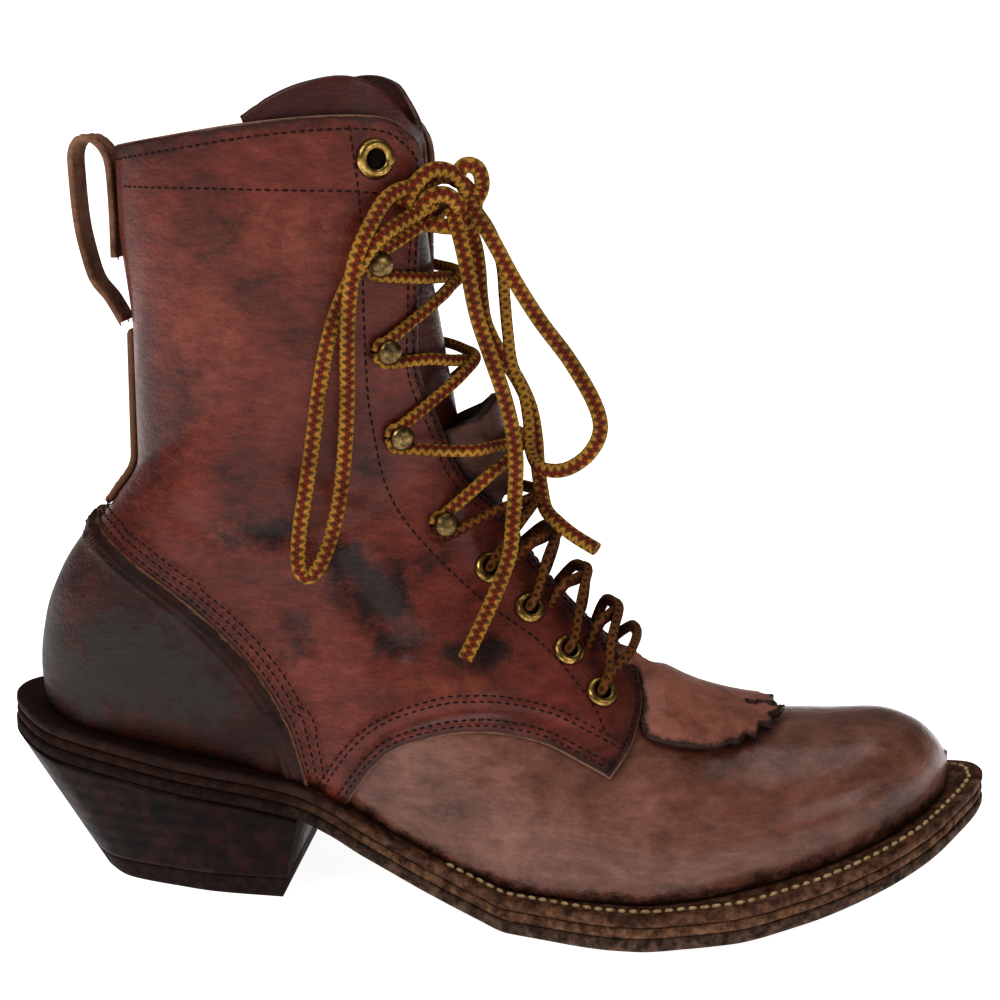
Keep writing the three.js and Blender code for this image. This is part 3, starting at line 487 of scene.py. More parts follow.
soleOutline = np.array([
    [0, 0, 0], [0.022, 0.157, 0.157], [0.067, 0.269, 0.264], [0.147, 0.315, 0.315], [0.212, 0.333, 0.329],
    [0.317, 0.319, 0.306], [0.359, 0.310, 0.292], [0.401, 0.319, 0.292], [0.449, 0.352, 0.310],
    [0.545, 0.444, 0.398], [0.641, 0.505, 0.472], [0.744, 0.505, 0.491], [0.808, 0.454, 0.477],
    [0.881, 0.352, 0.421], [0.936, 0.231, 0.338], [0.974, 0.083, 0.245], [0.994, -0.019, 0.171],
    [1, -0.093, 0.093]])
soleLine = np.array([
    [0, 1, 0], [0.160, 0.805, 0], [0.317, 0.61, 0], [0.349, 0.504, 0], [0.381, 0.374, 0], [0.442, 0.187, 0],
    [0.503, 0.05, 0], [0.532, 0, 0], [0.656, 0, 0], [0.701, 0, 0.06], [0.808, 0, 0.295], [0.881, 0, 0.52],
    [1, 0, 1]])
lateralShare = smoothCurve(np.arccos(1 - 2 * soleOutline[:, 0]), soleOutline[:, 1])
medialShare = smoothCurve(np.arccos(1 - 2 * soleOutline[:, 0]), soleOutline[:, 2])
heelShare = smoothCurve(soleLine[:, 0], soleLine[:, 1])
toeShare = smoothCurve(soleLine[:, 0], soleLine[:, 2])


def soleBottom(x):
    return boot["heelRise"] * heelShare(x / boot["length"]) + boot["toeSpring"] * toeShare(x / boot["length"])


def soleTop(x):
    return soleBottom(x) + sum(soleSizes[k] for k in ("outsole", "midsole", "welt")) + 2 * soleSizes["gap"]


def footLine(x):
    forefoot = np.maximum(0, (x - treadAt) / (boot["length"] - treadAt))
    return boot["heelRise"] * np.maximum(0, 1 - x / treadAt) + boot["toeSpring"] * forefoot ** 1.75


# at and rise of the back and front points, shift, half widths, widest, exponents; None is under the welt
sections = [
    [0.960, None, 0.960, 0.095, 0.086, 0.412, 0.417, 0.50, 3.0, 2.4],
    [0.950, None, 0.950, 0.119, 0.079, 0.412, 0.417, 0.48, 3.0, 2.4],
    [0.929, None, 0.929, 0.152, 0.063, 0.412, 0.417, 0.47, 3.0, 2.35],
    [0.891, None, 0.891, 0.183, 0.044, 0.412, 0.417, 0.45, 3.0, 2.3],
    [0.833, None, 0.840, 0.200, 0.026, 0.412, 0.417, 0.40, 3.2, 2.2],
    [0.763, None, 0.779, 0.222, 0.004, 0.412, 0.412, 0.36, 3.4, 2.1],
    [0.686, None, 0.712, 0.258, -0.019, 0.417, 0.412, 0.32, 3.4, 2.0],
    [0.615, None, 0.657, 0.303, -0.032, 0.403, 0.389, 0.29, 3.4, 2.0],
    [0.551, None, 0.612, 0.346, -0.046, 0.366, 0.338, 0.27, 3.2, 1.95],
    [0.487, None, 0.574, 0.384, -0.046, 0.324, 0.296, 0.26, 3.0, 1.9],
    [0.417, None, 0.540, 0.425, -0.030, 0.292, 0.278, 0.26, 2.9, 1.9],
    [0.333, None, 0.513, 0.466, -0.014, 0.278, 0.273, 0.27, 2.8, 1.9],
    [0.237, None, 0.492, 0.510, -0.005, 0.273, 0.269, 0.29, 2.7, 1.95],
    [0.138, None, 0.478, 0.551, 0, 0.278, 0.275, 0.33, 2.5, 2.0],
    [0.058, None, 0.470, 0.594, 0, 0.282, 0.282, 0.37, 2.3, 2.05],
    [0.042, 0.105, 0.465, 0.631, 0, 0.287, 0.287, 0.41, 2.2, 2.1],
    [0.048, 0.174, 0.459, 0.669, 0, 0.289, 0.289, 0.44, 2.15, 2.15],
    [0.066, 0.245, 0.454, 0.704, 0, 0.287, 0.287, 0.47, 2.1, 2.2],
    [0.095, 0.313, 0.449, 0.737, 0, 0.285, 0.285, 0.49, 2.1, 2.25],
    [0.123, 0.370, 0.444, 0.770, 0, 0.284, 0.284, 0.50, 2.15, 2.3],
    [0.146, 0.440, 0.440, 0.810, 0, 0.284, 0.284, 0.50, 2.2, 2.35],
    [0.146, 0.600, 0.434, 0.878, 0, 0.289, 0.289, 0.50, 2.3, 2.45],
    [0.135, 0.745, 0.432, 0.936, 0, 0.291, 0.291, 0.50, 2.3, 2.5],
    [0.133, 0.860, 0.432, 0.995, 0, 0.291, 0.291, 0.50, 2.3, 2.5],
    [0.133, 0.938, 0.432, 1.077, 0, 0.291, 0.291, 0.50, 2.3, 2.5]]
toeRound = {"from": 0.686, "to": 0.9625}
topRow = len(sections) - 1


def formCurves():
    backX = np.array([s[0] for s in sections]) * boot["length"]
    frontX = np.array([s[2] for s in sections]) * boot["length"]
    rise = np.array([np.nan if s[1] is None else s[1] for s in sections])
    backZ = np.where(np.isnan(rise), soleTop(backX) - tuck, footLine(backX) + rise * boot["legHeight"])
    frontZ = footLine(frontX) + np.array([s[3] for s in sections]) * boot["legHeight"]
    columns = {"backX": backX, "backZ": backZ, "frontX": frontX, "frontZ": frontZ}
    for at, name in enumerate(("shift", "lateral", "medial", "widest", "low", "high")):
        columns[name] = np.array([s[4 + at] for s in sections], float)
    rows = np.arange(len(sections))
    return {name: smoothCurve(rows, column) for name, column in columns.items()}


curves = formCurves()


# Rows count the sections, and -1 is the very tip of the toe; turn goes from the back (0) by the outer side
# to the front (0.5) and by the inner side back to 1
def formPoints(row, turn):
    row, turn = np.broadcast_arrays(np.asarray(row, float), np.asarray(turn, float) % 1)
    side = np.where(turn <= 0.5, -1, 1)
    angle = np.pi * np.where(turn <= 0.5, 2 * turn, 2 - 2 * turn)
    high = angle > np.pi / 2
    power = 2 / np.where(high, curves["high"](row), curves["low"](row))
    widest = curves["widest"](row)
    reach = np.abs(np.cos(angle)) ** power
    share = np.where(high, widest + (1 - widest) * reach, widest * (1 - reach))
    half = np.where(side < 0, curves["lateral"](row), curves["medial"](row))
    tip = np.clip(-row, 0, 1) * (toeRound["to"] - sections[0][0]) * boot["length"]
    backX = curves["backX"](row) + tip
    frontX = curves["frontX"](row) + tip
    backZ = curves["backZ"](row)
    past = np.maximum(0, backX / boot["length"] - toeRound["from"]) / (toeRound["to"] - toeRound["from"])
    width = half * np.abs(np.sin(angle)) ** power * np.sqrt(np.maximum(0, 1 - past ** 2))
    y = boot["ballWidth"] * (curves["shift"](row) + side * width)
    z = backZ + (curves["frontZ"](row) - backZ) * share
    return np.stack([backX + (frontX - backX) * share, y, z], -1)


normalStep = {"row": 0.12, "turn": 0.004}


def formNormals(row, turn):
    row, turn = np.broadcast_arrays(np.asarray(row, float), np.asarray(turn, float))
    byRow, byTurn = normalStep["row"], normalStep["turn"]
    around = formPoints(row, turn + byTurn) - formPoints(row, turn - byTurn)
    along = formPoints(np.minimum(topRow, row + byRow), turn) - formPoints(np.maximum(-1, row - byRow), turn)
    return unit(np.cross(around, along))


def skin(row, turn, offset=0.0):
    normal = formNormals(row, turn)
    return formPoints(row, turn) + normal * np.asarray(offset, float)[..., None], normal


flatReach = 230
flatStep = 0.5


# Table of the form, with the length round each ring and along the rows, to lay panels out flat
gridRows = np.concatenate([-1 + np.linspace(0, 1, 24) ** 1.5, np.arange(0.05, topRow + 0.01, 0.05)])
gridTurns = np.unique(np.concatenate([0.25 - 0.25 * np.cos(np.linspace(0, np.pi, 161)),
                                      0.75 - 0.25 * np.cos(np.linspace(0, np.pi, 161))]))


def makeDomain(middle):
    turns = gridTurns - 0.5 + middle
    points = formPoints(gridRows[:, None], turns[None, :])
    around = np.concatenate([np.zeros((len(gridRows), 1)),
                             np.cumsum(np.linalg.norm(np.diff(points, axis=1), axis=-1), axis=1)], axis=1)
    centre = np.argmin(np.abs(turns - middle))
    around -= around[:, centre:centre + 1]
    stride = np.linalg.norm(np.diff(points, axis=0), axis=-1).max(axis=1)
    along = np.concatenate([[0], np.cumsum(stride)])
    flat = np.arange(-flatReach, flatReach + flatStep, flatStep)
    table = np.array([np.interp(flat, ring, turns) for ring in around])

    def located(values, steps):
        at = np.interp(values, steps, np.arange(len(gridRows)))
        low = np.clip(np.floor(at).astype(int), 0, len(gridRows) - 2)
        return low, at - low

    def toFlat(curve):
        row, turn = curve.T
        low, share = located(row, gridRows)
        u = np.array([(1 - s) * np.interp(t, turns, around[i]) + s * np.interp(t, turns, around[i + 1])
                      for i, s, t in zip(low, share, turn)])
        return np.stack([u, np.interp(row, gridRows, along)], 1)

    def fromFlat(uv):
        low, share = located(uv[:, 1], along)
        column = np.clip((uv[:, 0] + flatReach) / flatStep, 0, len(flat) - 1.001)
        left = np.floor(column).astype(int)
        part = column - left
        ring = lambda i: table[i, left] * (1 - part) + table[i, left + 1] * part
        turn = (1 - share) * ring(low) + share * ring(low + 1)
        return np.stack([np.interp(uv[:, 1], along, gridRows), turn], 1)
    return toFlat, fromFlat


frontDomain, backDomain = makeDomain(0.5), makeDomain(0.0)


# Smooth line through side-view points [share of the length, share of the leg height], a point a millimetre
def throughShares(shares, spacing=1.0):
    xs = np.array([at for at, _ in shares]) * boot["length"]
    knots = np.stack([xs, footLine(xs) + np.array([rise for _, rise in shares]) * boot["legHeight"]], 1)
    return splined(np.vstack([knots[:1], knots, knots[-1:]]), spacing, 40)


# (row, turn) where the form shows side-view points, on the outer (-1) or inner (1) side
def onForm(points, side, offset=None):
    offset = offsets["quarter"] if offset is None else offset
    rows, turns = gridRows[::2], gridTurns[(gridTurns <= 0.5) if side < 0 else (gridTurns >= 0.5)]
    grid, _ = skin(rows[:, None], turns[None, :], offset)
    flat = grid[..., [0, 2]]
    tree = treeOf([(x, z, 0) for x, z in flat.reshape(-1, 2)])
    found = []
    for x, z in points:
        _, k, _ = tree.find((x, z, 0))
        i, j = divmod(k, len(turns))
        i, j = min(max(i, 1), len(rows) - 2), min(max(j, 1), len(turns) - 2)
        byRow = (flat[i + 1, j] - flat[i - 1, j]) / 2
        byTurn = (flat[i, j + 1] - flat[i, j - 1]) / 2
        miss = np.array([x, z]) - flat[i, j]
        det = byRow[0] * byTurn[1] - byRow[1] * byTurn[0]
        if abs(det) < 1e-4:
            i, j = divmod(k, len(turns))
            found.append([rows[i], turns[j]])
            continue
        a = np.clip((miss[0] * byTurn[1] - miss[1] * byTurn[0]) / det, -1, 1)
        b = np.clip((byRow[0] * miss[1] - byRow[1] * miss[0]) / det, -1, 1)
        found.append([rows[i] + a * (rows[i + 1] - rows[i - 1]) / 2,
                      turns[j] + b * (turns[j + 1] - turns[j - 1]) / 2])
    return np.array(found)


# The curve moved sideways over the surface; right of its direction, seen from outside, is positive
def moved(curve, by):
    points, normals = skin(*curve.T)
    aside = np.cross(unit(np.gradient(points, axis=0)), normals) * np.reshape(by, (-1, 1))
    row, turn = curve.T
    stepRow, stepTurn = 0.02, 0.002
    byRow = (formPoints(row + stepRow, turn) - formPoints(row - stepRow, turn)) / (2 * stepRow)
    byTurn = (formPoints(row, turn + stepTurn) - formPoints(row, turn - stepTurn)) / (2 * stepTurn)
    rr, rt, tt = (byRow * byRow).sum(1), (byRow * byTurn).sum(1), (byTurn * byTurn).sum(1)
    ra, ta = (byRow * aside).sum(1), (byTurn * aside).sum(1)
    det = np.maximum(1e-6, rr * tt - rt * rt)
    return curve + np.stack([(ra * tt - ta * rt) / det, (rr * ta - rt * ra) / det], 1)


def distanceTo(points, lines):
    tree = treeOf(np.vstack(lines))
    return np.array([tree.find(p)[2] for p in points])


def fineLine(curve, spacing=0.3):
    return resample(skin(*curve.T)[0], spacing)


# A leather panel: parts of its outline are (curve, isSeam) and go round it clockwise or not; lines are
# (curve, half width, height) ridges or grooves along it. Sites stand close by the outline and the lines.
panelSites = {"fromEdge": (0.3, 0.7, 1.3), "overLine": (-1.4, -0.6, 0, 0.6, 1.4), "clear": 0.55,
              "rowStep": 0.87, "onSeam": 0.25, "byCorner": 0.3, "weld": 0.00012}


def panel(name, outline, outer, thickness, domain=frontDomain, spacing=2.4, edge=1.0, lines=(), relief=None,
          values=None):
    toFlat, fromFlat = domain
    loop = np.vstack([curve[:-1] for curve, _ in outline])
    isSeam = np.concatenate([[seam] * (len(curve) - 1) for curve, seam in outline])
    flatLoop = toFlat(loop)
    following = np.roll(flatLoop, -1, axis=0)
    if np.sum(flatLoop[:, 0] * following[:, 1] - following[:, 0] * flatLoop[:, 1]) < 0:
        loop, flatLoop, isSeam = loop[::-1], flatLoop[::-1], np.roll(isSeam[::-1], -1)
    extra = []
    closed = np.vstack([loop[-1:], loop, loop[:1]])
    for width in panelSites["fromEdge"]:
        for sign in (-1, 1):
            extra.append(toFlat(moved(closed, sign * width)[1:-1]))
    for curve, half, _ in lines:
        for width in panelSites["overLine"]:
            extra.append(toFlat(moved(curve, width * half)))
    low, high = flatLoop.min(0), flatLoop.max(0)
    us, vs = np.meshgrid(np.arange(low[0], high[0], spacing),
                         np.arange(low[1], high[1], spacing * panelSites["rowStep"]))
    us = us + (np.arange(us.shape[0]) % 2)[:, None] * spacing / 2
    lattice = np.stack([us.ravel(), vs.ravel()], 1)
    near = treeOf([(u, v, 0) for u, v in np.vstack([flatLoop] + extra)])
    lattice = np.array([p for p in lattice if near.find((*p, 0))[2] > panelSites["clear"] * spacing])
    sites = [Vector(p) for p in np.vstack([flatLoop] + extra + [lattice])]
    out = delaunay_2d_cdt(sites, [], [list(range(len(flatLoop)))], 1, 1e-4)
    flat = np.array([tuple(p) for p in out[0]])
    faces = np.array([f for f in out[2] if len(f) == 3])
    curve = fromFlat(flat)
    base, normals = skin(*curve.T)
    hard = [fineLine(part) for part, seam in outline if not seam]
    d = distanceTo(base, hard)
    roll = np.clip(edge - d, 0, edge)
    height = outer - edge + np.sqrt(np.maximum(0, edge ** 2 - roll ** 2))
    for line, half, rise in lines:
        away = distanceTo(base, [fineLine(line)])
        height += rise * np.exp(-(away / half) ** 2)
    shift = relief(base, normals) if relief else np.zeros(len(base))
    top = base + normals * (height + shift)[:, None]
    under = base + normals * (outer - thickness + shift)[:, None]
    orient = np.cross(top[faces[:, 1]] - top[faces[:, 0]], top[faces[:, 2]] - top[faces[:, 0]])
    if np.sum(orient * normals[faces[:, 0]]) < 0:
        faces = faces[:, ::-1]
    n = len(base)
    edges = dict.fromkeys((f[i], f[i - 2]) for f in faces for i in range(3))
    rim = [(a, b) for a, b in edges if (b, a) not in edges]
    seamLines = [fineLine(part) for part, seam in outline if seam]
    if seamLines:
        fromSeam = distanceTo(base, seamLines)
        off = fromSeam > panelSites["onSeam"]
        rim = [(a, b) for a, b in rim if off[a] or off[b] or d[a] + d[b] < panelSites["byCorner"]]
    walls = [(b, a, a + n, b + n) for a, b in rim]
    allFaces = [tuple(f) for f in faces] + [tuple(f[::-1] + n) for f in faces] + walls
    data = {key: np.concatenate([value(base, normals, d)] * 2) for key, value in (values or {}).items()}
    piece = addMesh(name, np.vstack([top, under]), allFaces, values=data)
    if seamLines:
        mend(piece.data, panelSites["weld"])
    print(name, len(piece.data.polygons))
    return piece


# Where the form meets the welt, from the toe back; fine rows are at the heel, where it runs nearly level
welted = {"clear": 0.05, "fineFrom": 13.5, "fineTo": 15.01, "fineStep": 0.02}


def bottomCurve(side, spacing=1.0):
    fine = np.arange(welted["fineFrom"], welted["fineTo"], welted["fineStep"])
    turns = gridTurns[gridTurns <= 0.5] if side < 0 else gridTurns[gridTurns >= 0.5][::-1]
    found = []
    for row in np.concatenate([gridRows[gridRows <= welted["fineFrom"]], fine]):
        p = formPoints(row, turns)
        over = p[:, 2] - soleTop(p[:, 0]) - welted["clear"]
        if over[0] >= 0:
            break
        k = np.argmax(over >= 0)
        found.append([row, np.interp(0, over[k - 1:k + 1], turns[k - 1:k + 1])])
    found.append([row, turns[0] % 1 if side < 0 else 1.0])
    found = np.array(found)
    p = formPoints(*found.T)
    run = runAlong(p)
    even = np.linspace(0, run[-1], int(run[-1] / spacing))
    return np.stack([np.interp(even, run, found[:, k]) for k in (0, 1)], 1)


outlines = {
    "rim": [
        [0.115, 0.842], [0.188, 0.883], [0.282, 0.934], [0.359, 0.968], [0.403, 0.979], [0.423, 0.968],
        [0.434, 0.939], [0.433, 0.869]],
    "facing": [
        [0.433, 0.869], [0.432, 0.812], [0.432, 0.721], [0.434, 0.661], [0.451, 0.601], [0.471, 0.538],
        [0.510, 0.489], [0.558, 0.422], [0.610, 0.360], [0.639, 0.326]],
    "vampEdge": [
        [0.365, 0.060], [0.404, 0.146], [0.452, 0.192], [0.506, 0.222], [0.558, 0.232], [0.603, 0.223],
        [0.627, 0.215]],
    "quarterFront": [[0.627, 0.215], [0.646, 0.251], [0.655, 0.290], [0.649, 0.318], [0.639, 0.326]],
    "counterEdge": [
        [0.060, 0.333], [0.114, 0.339], [0.149, 0.325], [0.192, 0.300], [0.231, 0.269], [0.269, 0.227],
        [0.298, 0.180], [0.316, 0.131], [0.329, 0.060]],
    "tongueTop": [
        [0.269, 0.936], [0.297, 0.970], [0.327, 0.997], [0.364, 1.018], [0.393, 1.017], [0.408, 1.000],
        [0.430, 0.966]],
    "tongueBack": [
        [0.628, 0.287], [0.571, 0.330], [0.481, 0.393], [0.404, 0.451], [0.359, 0.524], [0.337, 0.625],
        [0.327, 0.731], [0.308, 0.833], [0.269, 0.936]],
    "kiltieFlap": [
        [0.762, 0.262], [0.782, 0.242], [0.793, 0.227], [0.757, 0.223], [0.724, 0.228], [0.696, 0.236],
        [0.667, 0.250], [0.654, 0.260]],
}
sideLines = {name: throughShares(shares) for name, shares in outlines.items()}
formLines = {}
for lineSide in (-1, 1):
    for lineName, linePoints in sideLines.items():
        lineOffset = -offsets["wall"] - soleSizes["gap"] if lineName.startswith("tongue") else None
        formLines[lineName, lineSide] = onForm(linePoints, lineSide, lineOffset)
bottoms = {lineSide: bottomCurve(lineSide) for lineSide in (-1, 1)}
print("outlines on the form")


def between(a, b, spacing=1.0):
    ends = formPoints(np.array([a[0], b[0]]), np.array([a[1], b[1]]))
    count = max(2, int(np.linalg.norm(ends[1] - ends[0]) / spacing) + 1)
    return np.linspace(a, b, count)


def joined(*curves):
    parts = [curves[0]]
    for curve in curves[1:]:
        parts.append(curve[1:] if np.linalg.norm(curve[0] - parts[-1][-1]) < 1e-6 else curve)
    return np.vstack(parts)


# Wear and painted highlight: blots are x, z, their half sizes and strength, weaker on the inner side; the two
# long pale blots on the toe top are painted highlight, the others are stains and wear; creases are a line's
# two ends, half width and height, on both sides
wearAndHighlight = {
    "stain": [(124, 100, 9, 8, 1.0), (112, 110, 9, 6, 0.9), (90, 119, 13, 5, 0.75), (154, 82, 10, 5, 0.8),
              (138, 109, 6, 4, 0.5), (131, 85, 8, 5, 0.65), (182, 92, 4, 4, 0.7), (99, 85, 6, 8, 0.5),
              (120, 137, 5, 9, 0.4), (60, 150, 14, 18, 0.35), (84, 196, 12, 14, 0.3)],
    "pale": [(100, 205, 18, 12, 0.5), (75, 175, 12, 20, 0.45), (112, 128, 12, 7, 0.4), (145, 72, 14, 6, 0.45),
             # painted highlight: the two long pale blots on this line lie along the top of the toe
             (250, 40, 14, 8, 0.4), (220, 45, 20, 6, 0.35)],
    "scuff": [(50, 76, 19, 13, 1.0), (34, 68, 12, 12, 0.9), (68, 66, 12, 9, 0.8), (60, 92, 9, 6, 0.6),
              (20, 78, 8, 12, 0.7), (284, 32, 8, 8, 0.6)],
}
creases = [
    ((100, 141), (117, 131), 3.2, -0.7),
    ((96, 133), (116, 124), 3.0, 0.5),
    ((108, 113), (131, 83), 4.2, -1.2),
    ((118, 117), (141, 88), 4.6, 0.8),
    ((86, 120), (110, 117), 3.2, -0.8),
    ((82, 112), (108, 107), 4.0, 0.6),
    ((126, 80), (152, 92), 4.0, -0.6),
    ((66, 122), (84, 112), 3.0, -0.6),
    ((92, 100), (104, 84), 3.6, -0.5),
    ((206, 62), (214, 40), 4.0, -0.5),
    ((220, 58), (229, 38), 4.0, -0.4),
    ((182, 60), (196, 42), 5.0, -0.4),
]
blotSettings = {"inner": 0.55, "spread": 1.8, "byWelt": 0.75, "weltReach": 4}


# Amount that fades from a panel's edge; each part has a strength and a reach
def fading(*parts):
    return lambda points, normals, d: sum(strength * np.exp(-(d / reach) ** 2) for strength, reach in parts)


# Blot amount of one kind; for pale it includes the painted highlight on the toe top
def blots(key):
    def amount(points, normals, d):
        near = np.where(points[:, 1] < 0, 1.0, blotSettings["inner"])
        total = np.zeros(len(points))
        for x, z, halfX, halfZ, strength in wearAndHighlight[key]:
            away = ((points[:, 0] - x) / halfX) ** 2 + ((points[:, 2] - z) / halfZ) ** 2
            total = np.maximum(total, strength * np.exp(-away / blotSettings["spread"]))
        if key == "stain":
            above = np.maximum(0, points[:, 2] - soleTop(points[:, 0]))
            total = np.maximum(total, blotSettings["byWelt"] * np.exp(-above / blotSettings["weltReach"]))
        return total * near
    return amount


def creaseRelief(points, normals):
    shift = np.zeros(len(points))
    for (x0, z0), (x1, z1), half, height in creases:
        start, run = np.array([x0, z0]), np.array([x1 - x0, z1 - z0])
        flat = points[:, [0, 2]] - start
        share = np.clip(flat @ run / (run @ run), 0, 1)
        away = np.linalg.norm(flat - share[:, None] * run, axis=1)
        shift += height * np.exp(-(away / half) ** 2)
    return shift


wearAndHighlightValues = {
    "stain": blots("stain"),
    "pale": blots("pale"),
    "scuff": blots("scuff"),
    "seam": fading((0.8, 1.1), (0.5, 7)),
    "raw": fading((1.0, 0.5)),
}


# Upper: one hollow piece with its collar, throat and floor open
upperSizes = {"outer": 0.0, "thickness": offsets["wall"], "spacing": 2.2, "edge": 0.8}


def makeUpper():
    parts = []
    for side, turnBack in ((-1, 0.0), (1, 1.0)):
        rim, facing = formLines["rim", side], formLines["facing", side]
        edgeLine = joined(rim, facing)
        start = np.array([[edgeLine[0, 0], turnBack]])
        bottom = bottoms[side]
        back = np.array([bottom[-1, 0], turnBack])
        parts.append({
            "top": np.vstack([start, edgeLine]),
            "back": between(start[0], back),
            "bottom": bottom,
            "tip": np.stack([np.full(30, -1.0), np.linspace(bottom[0, 1], 0.5, 30)], 1),
        })
    low, high = parts
    throat = between(low["top"][-1], high["top"][-1])
    outline = [
        (low["back"][::-1], True),
        (joined(low["top"], throat, high["top"][::-1]), False),
        (high["back"], True),
        (high["bottom"][::-1], False),
        (high["tip"], True),
        (low["tip"][::-1], True),
        (low["bottom"], False),
    ]
    return panel("upper_leather", outline, **upperSizes, relief=creaseRelief, values=wearAndHighlightValues)


finishPiece(makeUpper(), finish["vamp"], "vamp", "upper")


# Quarters run under the counter at the back; their raised edge holds two double seams with a dip between
quarterSizes = {"outer": offsets["quarter"], "thickness": 1.9, "spacing": 2.0, "edge": 0.9}
quarterEnds = {"underCounter": 5.0, "weltEnd": 113.5, "heelAt": 102, "clear": 0.5}
quarterBands = [(3.0, 1.2, 0.6), (10.3, 1.2, 0.6), (6.6, 1.5, -0.45)]


def makeQuarter(side):
    turnBack = 0.0 if side < 0 else 1.0
    rim, facing, front = formLines["rim", side], formLines["facing", side], formLines["quarterFront", side]
    vamp = formLines["vampEdge", side]
    counter = formLines["counterEdge", side]
    counter = moved(counter, side * -quarterEnds["underCounter"])
    bottom = bottoms[side]
    xs = formPoints(*bottom.T)[:, 0]
    counter = counter[formPoints(*counter.T)[:, 2] > soleTop(quarterEnds["heelAt"]) + quarterEnds["clear"]]
    keep = bottom[(xs < quarterEnds["weltEnd"]) & (xs > formPoints(*counter[-1])[0])][::-1]
    start, end = np.array([rim[0, 0], turnBack]), np.array([counter[0, 0], turnBack])
    outline = [
        (joined(vamp, front, facing[::-1], rim[::-1], start[None]), False),
        (between(start, end), True),
        (joined(end[None], counter, keep, vamp[:1]), False),
    ]
    bands = [(moved(vamp, side * step)[3:-3], half, rise) for step, half, rise in quarterBands]
    return panel("outer_quarter" if side < 0 else "inner_quarter", outline, **quarterSizes, lines=bands,
                 relief=creaseRelief, values=wearAndHighlightValues)


for quarterSide, quarterNode in ((-1, "quarter_lateral"), (1, "quarter_medial")):
    finishPiece(makeQuarter(quarterSide), finish["quarter"], "quarter", quarterNode)


counterSizes = {"outer": offsets["counter"], "thickness": 1.5, "spacing": 2.2, "edge": 1.2}
counterRidges = {"steps": (3.2, 5.5), "half": 0.9, "rise": 0.95}
counterEnds = {"weltAt": 100, "clear": 0.4}


def makeCounter():
    rims, floors = [], []
    for side in (-1, 1):
        shift = np.array([0, 1 if side > 0 else 0])
        rim, floor = formLines["counterEdge", side] - shift, bottoms[side] - shift
        rim = rim[formPoints(*rim.T)[:, 2] > soleTop(counterEnds["weltAt"]) + counterEnds["clear"]]
        rims.append(rim)
        floors.append(floor[formPoints(*floor.T)[:, 0] < formPoints(*rim[-1])[0]])
    floor = joined(floors[0], floors[1][::-1])
    rim = joined(rims[0][::-1], rims[1])
    outline = [(joined(rim, floor[::-1], rims[0][-1:]), False)]
    ridges = [(moved(rim, -step)[4:-4], counterRidges["half"], counterRidges["rise"])
              for step in counterRidges["steps"]]
    return panel("heel_counter", outline, **counterSizes, domain=backDomain, lines=ridges, values=wearAndHighlightValues)


finishPiece(makeCounter(), finish["counter"], "counter", "counter")


# Stitches, eyelets and hooks: one node tree sets a shape out along seams, the other on single places
def newTree(name, inputs):
    tree = bpy.data.node_groups.new(name, "GeometryNodeTree")
    tree.interface.new_socket("Geometry", in_out="INPUT", socket_type="NodeSocketGeometry")
    for label, kind in inputs:
        tree.interface.new_socket(label, in_out="INPUT", socket_type=kind)
    tree.interface.new_socket("Geometry", in_out="OUTPUT", socket_type="NodeSocketGeometry")
    return tree, addNode(tree, "NodeGroupInput").outputs


def endTree(tree, points, shape, turn, size, material):
    inputs = {"Points": points, "Instance": shape, "Rotation": turn}
    if size:
        inputs["Scale"] = size
    laid = addNode(tree, "GeometryNodeInstanceOnPoints", inputs).outputs[0]
    real = addNode(tree, "GeometryNodeRealizeInstances", {0: laid}).outputs[0]
    smooth = addNode(tree, "GeometryNodeSetShadeSmooth", {0: real}).outputs[0]
    dressed = addNode(tree, "GeometryNodeSetMaterial", {"Geometry": smooth, "Material": material}).outputs[0]
    addNode(tree, "NodeGroupOutput", {"Geometry": dressed})
    return tree


def outward(tree):
    return addNode(tree, "GeometryNodeInputNamedAttribute", {"Name": "out"},
                   data_type="FLOAT_VECTOR").outputs[0]


# A stitch turns and changes its length a little from its neighbours
wander = {"turn": 0.12, "short": 0.85, "long": 1.1}


def makeStitchTree():
    tree, given = newTree("seam stitches", [
        ("Spacing", "NodeSocketFloat"), ("Length", "NodeSocketFloat"), ("Thickness", "NodeSocketFloat"),
        ("Thread", "NodeSocketMaterial")])
    seam = addNode(tree, "GeometryNodeMeshToCurve", {"Mesh": given["Geometry"]}).outputs[0]
    even = addNode(tree, "GeometryNodeResampleCurve", {"Curve": seam, "Length": given["Spacing"]},
                   mode="LENGTH").outputs[0]
    out = outward(tree)
    run = addNode(tree, "GeometryNodeInputTangent").outputs[0]
    turn = addNode(tree, "FunctionNodeAlignRotationToVector", {"Vector": run}, axis="X").outputs[0]
    turn = addNode(tree, "FunctionNodeAlignRotationToVector", {"Rotation": turn, "Vector": out},
                   axis="Z", pivot_axis="X").outputs[0]
    swing = addNode(tree, "FunctionNodeRandomValue",
                    {2: -wander["turn"], 3: wander["turn"], "Seed": 7}).outputs[1]
    swing = addNode(tree, "FunctionNodeAxisAngleToRotation", {"Axis": (0, 0, 1), "Angle": swing}).outputs[0]
    turn = addNode(tree, "FunctionNodeRotateRotation", {"Rotation": turn, "Rotate By": swing},
                   rotation_space="LOCAL").outputs[0]
    bead = addNode(tree, "GeometryNodeMeshUVSphere", {"Segments": 6, "Rings": 4, "Radius": 0.5}).outputs[0]
    vary = addNode(tree, "FunctionNodeRandomValue",
                   {2: wander["short"], 3: wander["long"], "Seed": 3}).outputs[1]
    thick = given["Thickness"]
    long = combine(tree, "MULTIPLY", given["Length"], vary)
    size = addNode(tree, "ShaderNodeCombineXYZ", {0: long, 1: thick, 2: thick}).outputs[0]
    return endTree(tree, even, bead, turn, size, given["Thread"])


